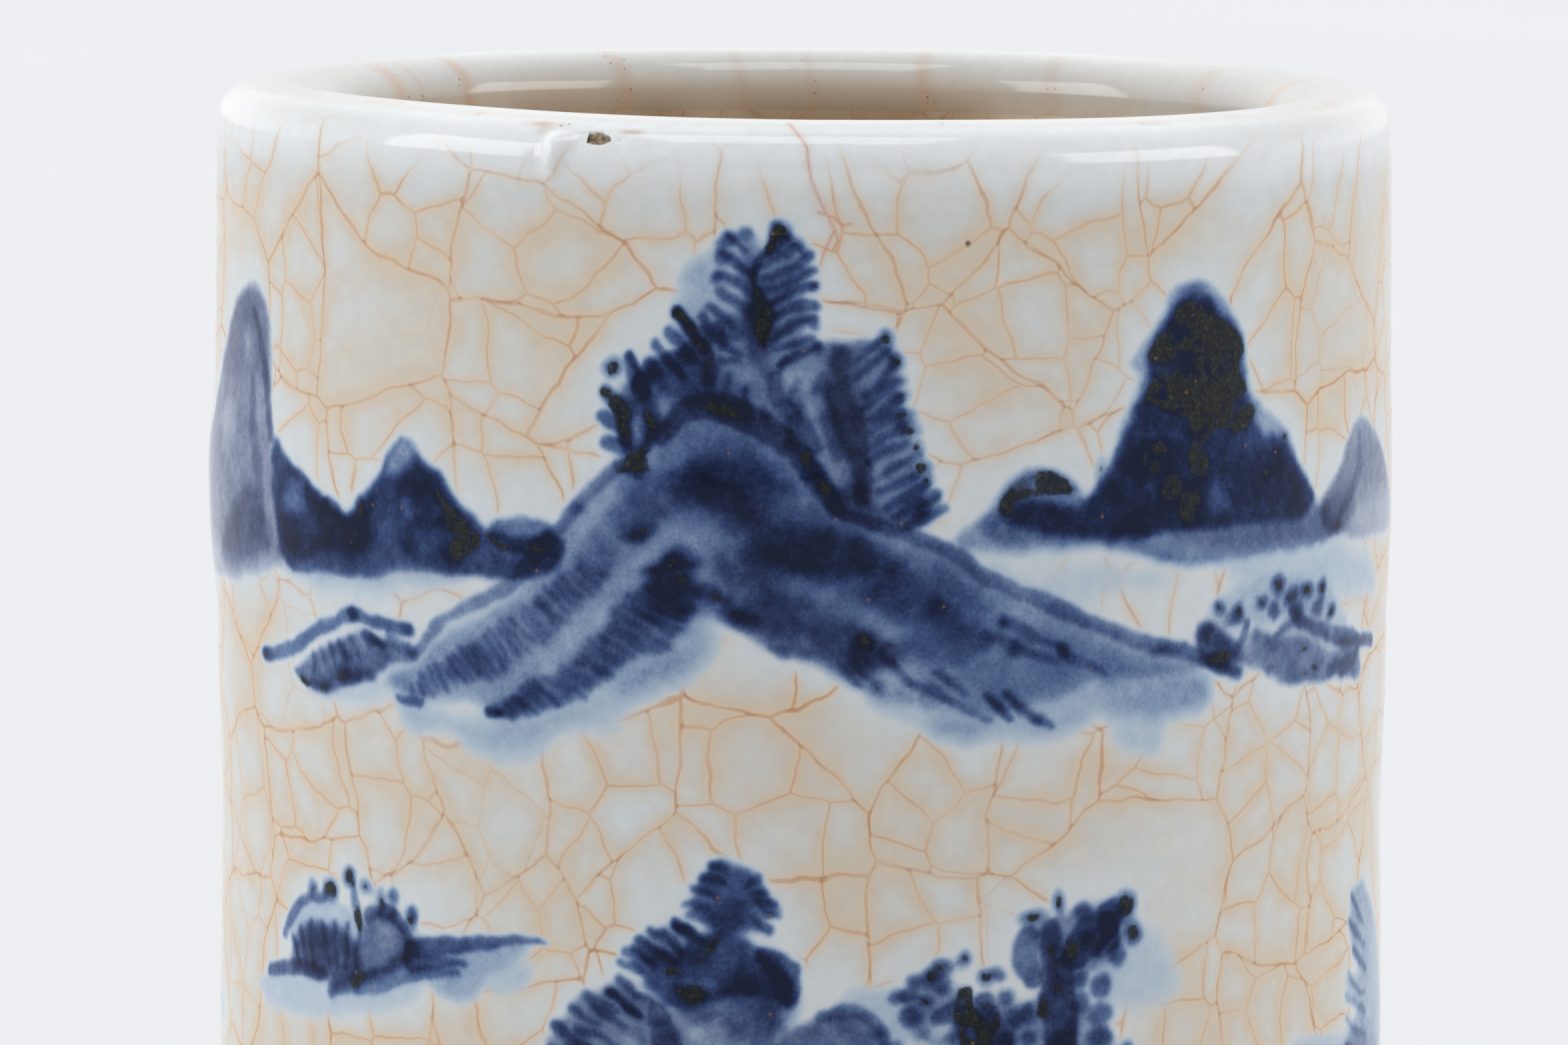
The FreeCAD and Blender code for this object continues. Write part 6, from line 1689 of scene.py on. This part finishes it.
lip_fields = {
    "chip": lip_field(smooth(chipped, 0.35, 0.8)),
    "rust": lip_field(np.clip(rust, 0, 0.85)),
    "scar": lip_field(scar_on(tt, vv_lip)),
    # brown stain with painted shadow inside the rim
    "stain_and_shadow": lip_field(well_stain_and_shadow(tt, vv_lip)),
}
lip = make_band(
    "lip_coat", THETA, rings, lip_fields, rim_glaze, "lip_glaze", way, closed=True
)
crease(lip.data, COLS, [0, len(lip_v) - 1, len(lip_v), len(rings) - 1])

# ------------------------------------------------------------------- the bead
bu = np.linspace(-2.6, 2.6, 80)
bv = np.linspace(-2.9, 3.2, 90)
UB, VB = np.meshgrid(bu, bv)
theta_b = BEAD[0] + UB / ROUND
v_b = BEAD[1] + VB
lean = UB + 0.05 * VB
wide = np.where(VB < 0, 0.78 - 0.10 * VB, 0.78 + 0.02 * VB)
height = 0.62 * np.exp(-((np.abs(lean) / wide) ** 2.3) - (np.abs(VB + 0.1) / 1.55) ** 2.6)
height += 0.16 * np.exp(-((UB / 1.5) ** 2) - ((VB - 0.5) / 2.0) ** 2)
height += 0.10 * np.exp(-(((UB - 1.3) / 0.5) ** 2) - ((VB + 1.0) / 0.7) ** 2)
edge_fade = np.clip(np.minimum(2.6 - np.abs(UB), np.minimum(VB + 2.9, 3.2 - VB)) / 0.9, 0, 1)
height = height * edge_fade - 0.03
base_points, base_normals = skin(theta_b, v_b), facing(theta_b, v_b)
top = base_points + base_normals * height[..., None]
under = base_points - base_normals * 0.14
nb, na = UB.shape
points = np.concatenate([top.reshape(-1, 3), under.reshape(-1, 3)]) * MM
idx = np.arange(nb * na).reshape(nb, na)
a, b, c, d = idx[:-1, :-1], idx[:-1, 1:], idx[1:, 1:], idx[1:, :-1]
top_faces = np.stack([a, d, c, b], -1).reshape(-1, 4)
under_faces = np.stack([a, b, c, d], -1).reshape(-1, 4) + nb * na
rim = np.concatenate([idx[0, :-1], idx[:-1, -1], idx[-1, :0:-1], idx[:0:-1, 0]])
nxt = np.roll(rim, -1)
side = np.stack([rim, nxt, nxt + nb * na, rim + nb * na], -1)
mesh = bpy.data.meshes.new("glaze_drop")
mesh.from_pydata(points.tolist(), [], np.concatenate([top_faces, under_faces, side]).tolist())
mesh.polygons.foreach_set("use_smooth", np.ones(len(mesh.polygons), bool))
mesh.update()
corner = np.zeros(len(mesh.loops), np.int32)
mesh.loops.foreach_get("vertex_index", corner)
both_u = np.tile(theta_b.reshape(-1) * ROUND / 10, 2)[corner]
both_v = np.tile(v_b.reshape(-1) / 10, 2)[corner]
add_uv(mesh, "unroll", np.stack([both_u, both_v], 1))
rust_b = np.maximum(spot(theta_b, v_b, -21.9, 0.0, 1.9, 0.42, 0.6), spot(theta_b, v_b, -21.5, 0.6, 0.75, 0.85, 0.7))
rust_b = 0.62 * rust_b * (0.6 + 0.4 * ripple_small(theta_b * ROUND, v_b))
add_field(mesh, "rust", np.tile(rust_b.reshape(-1), 2))
bead = piece("glaze_drop", mesh, rim_glaze, "glaze_bead")

# ------------------------------------------------------------- the inner coat
LIP_END = LIP_LOW_V - CROWN - (INNER_Z - 119.5)
skin_rings = []
skin_way = []
for i, z in enumerate(np.concatenate([[119.5], np.arange(118.5, 13.0, -1.0)])):
    r = inner_radius(THETA, np.full(COLS, z))
    zz = lifted(THETA, np.full(COLS, z))
    skin_rings.append(ring_points(r, zz))
    skin_way.append(LIP_END - (119.5 - z))
z0 = 12.7
for step in np.linspace(0, 1, 9):
    a = step * math.pi / 2
    r = 40.88 - 3.2 * (1 - math.cos(a))
    z = z0 - 3.1 * math.sin(a)
    skin_rings.append(ring_points(r, z + 0.03 * np.sin(5 * THETA) * step))
    skin_way.append(skin_way[-1] - 0.6)
floor_height = lambda r, t: 9.55 + 0.05 * np.cos(r / 2.6 + 0.6 * np.sin(t)) - 0.12 * np.exp(-((r / 14) ** 2)) + 0.35 * np.exp(-(((37.7 - r) / 1.6) ** 2)) * 0.2
for r in np.concatenate([np.arange(36.9, 2.0, -1.3), [1.2]]):
    skin_rings.append(ring_points(r, floor_height(r, THETA)))
    skin_way.append(skin_way[-1] - 1.3)
under_rings = [ring_points(r, 9.02) for r in (4.0, 28.0, 38.1)]
under_rings += [ring_points(40.4, 10.2), ring_points(41.37, 12.2), ring_points(41.1, 119.5)]
count_under = len(under_rings)
rings = np.concatenate([np.array(under_rings), np.array(skin_rings)])
way = np.concatenate([LIP_END + 0.2 * np.arange(count_under, 0, -1), skin_way])
# brown stain with painted shadow down the inside of the well
inner_stain_and_shadow = well_stain_and_shadow(*np.meshgrid(THETA, way))
inner = make_band(
    "inner_coat", THETA, rings, {"stain_and_shadow": inner_stain_and_shadow}, inside_glaze, "inner_glaze", way, caps=(True, True)
)
crease(inner.data, COLS, [count_under - 1, count_under])
lay_flat(inner.data, 37.75, 3.0, -9.0)

# ------------------------------------------------------------------- the foot
nick = Noise(51, 2.4, 2.4)
grit_noise = Noise(52, 0.9, 0.9)
FOOT = [
    (3.0, 3.5), (15.0, 3.5), (24.0, 3.5), (28.6, 3.48), (29.4, 3.2), (29.75, 2.5), (30.05, 1.5),
    (30.25, 0.7), (30.45, 0.28), (30.8, 0.06), (31.3, 0.0), (34.0, 0.0), (38.0, 0.0),
    (42.0, 0.0), (45.5, 0.0), (46.9, 0.0), (47.5, 0.03), (47.95, 0.22), (48.35, 0.62),
    (48.8, 1.12), (49.2, 1.52), (49.42, 1.85), (49.5, 2.2), (49.5, 2.6), (49.5, 5.0),
    (49.5, 8.98), (25.0, 8.98),
]
foot_rings, foot_way, foot_edge = [], [], []
along = 0.0
for i, (r, z) in enumerate(FOOT):
    if i:
        along += math.hypot(r - FOOT[i - 1][0], z - FOOT[i - 1][1])
    rr = np.full(COLS, r)
    zz = np.full(COLS, z)
    if 7 <= i <= 22:
        wobble = 0.05 * nick(THETA * ROUND, np.full(COLS, along)) + 0.02 * grit_noise(THETA * ROUND, np.full(COLS, along))
        if 7 <= i <= 9:
            rr = rr + wobble
        elif i >= 17 and i <= 21:
            rr = rr - np.abs(wobble) * 1.4
        if 0 < z < 2:
            zz = zz + np.abs(wobble) * 0.4
    foot_rings.append(ring_points(rr, zz))
    foot_way.append(along)
    burnt = math.exp(-((max(0, 2.9 - z) / 1.1) ** 2)) if r > 47 else 0.0
    burnt = max(burnt, 0.8 * math.exp(-((max(0, r - 30.2) / 0.9) ** 2)) if r < 40 else 0.0)
    foot_edge.append(np.full(COLS, burnt))
foot = make_band(
    "foot_disc", THETA, np.array(foot_rings), {"edge": np.array(foot_edge)}, bare_clay,
    "base_slab", np.array(foot_way), caps=(True, True),
)
crease(foot.data, COLS, [25])

# ------------------------------------------------------------- the under coat
UNDER = [(3.0, 3.0), (14.0, 3.01), (22.0, 3.0), (27.0, 2.98), (28.4, 2.88), (29.0, 2.5), (29.25, 2.0), (29.5, 1.6), (29.75, 1.5), (29.98, 1.56), (29.9, 2.2), (29.45, 3.4), (20.0, 3.47)]
edge2 = 0.12 * np.sin(4 * THETA + 1.0) + 0.07 * np.sin(11 * THETA)
under_coat_rings, under_way = [], []
along = 0.0
for i, (r, z) in enumerate(UNDER):
    if i:
        along += math.hypot(r - UNDER[i - 1][0], z - UNDER[i - 1][1])
    zz = z + (edge2 if 6 <= i <= 9 else 0) + 0.03 * ripple(THETA * ROUND, np.full(COLS, r)) * (i < 5)
    under_coat_rings.append(ring_points(r, zz))
    under_way.append(along + 30)
under = make_band(
    "under_coat", THETA, np.array(under_coat_rings), {}, inside_glaze, "base_glaze",
    np.array(under_way), caps=(True, True),
)
lay_flat(under.data, 28.6, 2.0, 12.0)

for name in ("wall_body", "luting_coil"):
    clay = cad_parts[name]
    clay.data.materials.clear()
    clay.data.materials.append(hidden_clay)

# ------------------------------------------------------------------ the stage
floor_mesh = bpy.data.meshes.new("floor")
turns = np.linspace(0, 2 * math.pi, 96, endpoint=False)
circle = [(14 * math.cos(t), 14 * math.sin(t), 0.0) for t in turns]
floor_mesh.from_pydata(circle, [], [list(range(96))])
floor = bpy.data.objects.new("floor", floor_mesh)
bpy.context.scene.collection.objects.link(floor)
k = Nodes("pale floor")
paper = k.noise(k.where(), 0.35, 2.0)
k.put(k.bsdf.inputs["Base Color"], k.mix(k.span(paper, 0.3, 0.7), (0.722, 0.732, 0.747), (0.732, 0.742, 0.757)))
k.bsdf.inputs["Roughness"].default_value = 0.9
k.bsdf.inputs["Specular IOR Level"].default_value = 0.15
floor_mesh.materials.append(k.mat)

SKY = dict(base=0.02, back=0.80, back_high=1.55, zenith=0.0, left=1.00, right=0.84)
# azimuth from the front, positive to the right, elevation, both in degrees, and radiance
BOXES = dict(left_strip=(-88, -55, 4, 35, 3.2), right_strip=(52, 92, 5, 27, 3.2))
# a soft box overhead, by the level parts of its directions, and radiance
OVER = (-0.31, 0.29, -0.375, 0.085, 2.5)

world = bpy.data.worlds.new("studio")
bpy.context.scene.world = world
world.use_nodes = True
sky = Nodes.__new__(Nodes)
sky.tree = world.node_tree
sky.tree.nodes.clear()
w_out = sky.node("ShaderNodeOutputWorld")
w_back = sky.node("ShaderNodeBackground")
sky.tree.links.new(w_back.outputs[0], w_out.inputs[0])
ray = sky.node("ShaderNodeSeparateXYZ")
sky.put(ray.inputs[0], sky.node("ShaderNodeTexCoord").outputs["Generated"])
east, north, high = ray.outputs
behind = sky.add(SKY["back"], sky.mul(sky.math("MAXIMUM", high, 0.0), SKY["back_high"]))
glow = sky.add(SKY["base"], sky.mul(sky.math("MAXIMUM", north, 0.0), behind))
glow = sky.add(glow, sky.mul(sky.math("POWER", sky.math("MAXIMUM", high, 0.0), 4.0), SKY["zenith"]))
glow = sky.add(glow, sky.mul(sky.math("MAXIMUM", east, 0.0), SKY["right"]))
glow = sky.add(glow, sky.mul(sky.math("MAXIMUM", sky.mul(east, -1.0), 0.0), SKY["left"]))
bearing = sky.mul(sky.math("ARCTAN2", east, sky.mul(north, -1.0)), 180 / math.pi)
climb = sky.mul(sky.math("ARCSINE", high), 180 / math.pi)
for west_edge, east_edge, bottom, top_edge, radiance in BOXES.values():
    inside_box = sky.mul(
        sky.mul(sky.span(bearing, west_edge - 1.5, west_edge + 1.5), sky.span(bearing, east_edge + 1.5, east_edge - 1.5)),
        sky.mul(sky.span(climb, bottom - 1.5, bottom + 1.5), sky.span(climb, top_edge + 1.5, top_edge - 1.5)),
    )
    glow = sky.add(glow, sky.mul(inside_box, radiance))
over_box = sky.mul(
    sky.mul(sky.span(east, OVER[0] - 0.02, OVER[0] + 0.02), sky.span(east, OVER[1] + 0.02, OVER[1] - 0.02)),
    sky.mul(sky.span(north, OVER[2] - 0.02, OVER[2] + 0.02), sky.span(north, OVER[3] + 0.02, OVER[3] - 0.02)),
)
over_box = sky.mul(over_box, sky.span(high, 0.4, 0.6))
glow = sky.add(glow, sky.mul(over_box, OVER[4]))
tint = sky.node("ShaderNodeVectorMath", operation="SCALE")
tint.inputs[0].default_value = (0.985, 0.992, 1.0)
sky.put(tint.inputs[3], glow)
sky.put(w_back.inputs["Color"], tint.outputs[0])


# ----------------------------------------------------------------- the camera
cam_data = bpy.data.cameras.new("camera")
cam = bpy.data.objects.new("camera", cam_data)
bpy.context.scene.collection.objects.link(cam)
bpy.context.scene.camera = cam
cam_data.sensor_width = 36.0
cam_data.lens = 10559 / 2352 * 36.0
cam_data.clip_start, cam_data.clip_end = 0.01, 60
pitch, roll = math.radians(7.81), math.radians(0.16)
ahead = Vector((0, math.cos(pitch), -math.sin(pitch)))
up = Vector((0, math.sin(pitch), math.cos(pitch)))
side = Vector((1, 0, 0))
right = math.cos(roll) * side + math.sin(roll) * up
top_way = -math.sin(roll) * side + math.cos(roll) * up
turned_to = Matrix((right, top_way, -ahead)).transposed()
cam.rotation_mode = "QUATERNION"
cam.rotation_quaternion = turned_to.to_quaternion()
cam.location = Vector((-1.6, -600, 169)) * MM

bpy.context.scene.view_settings.view_transform = "Standard"
bpy.context.scene.view_settings.look = "None"
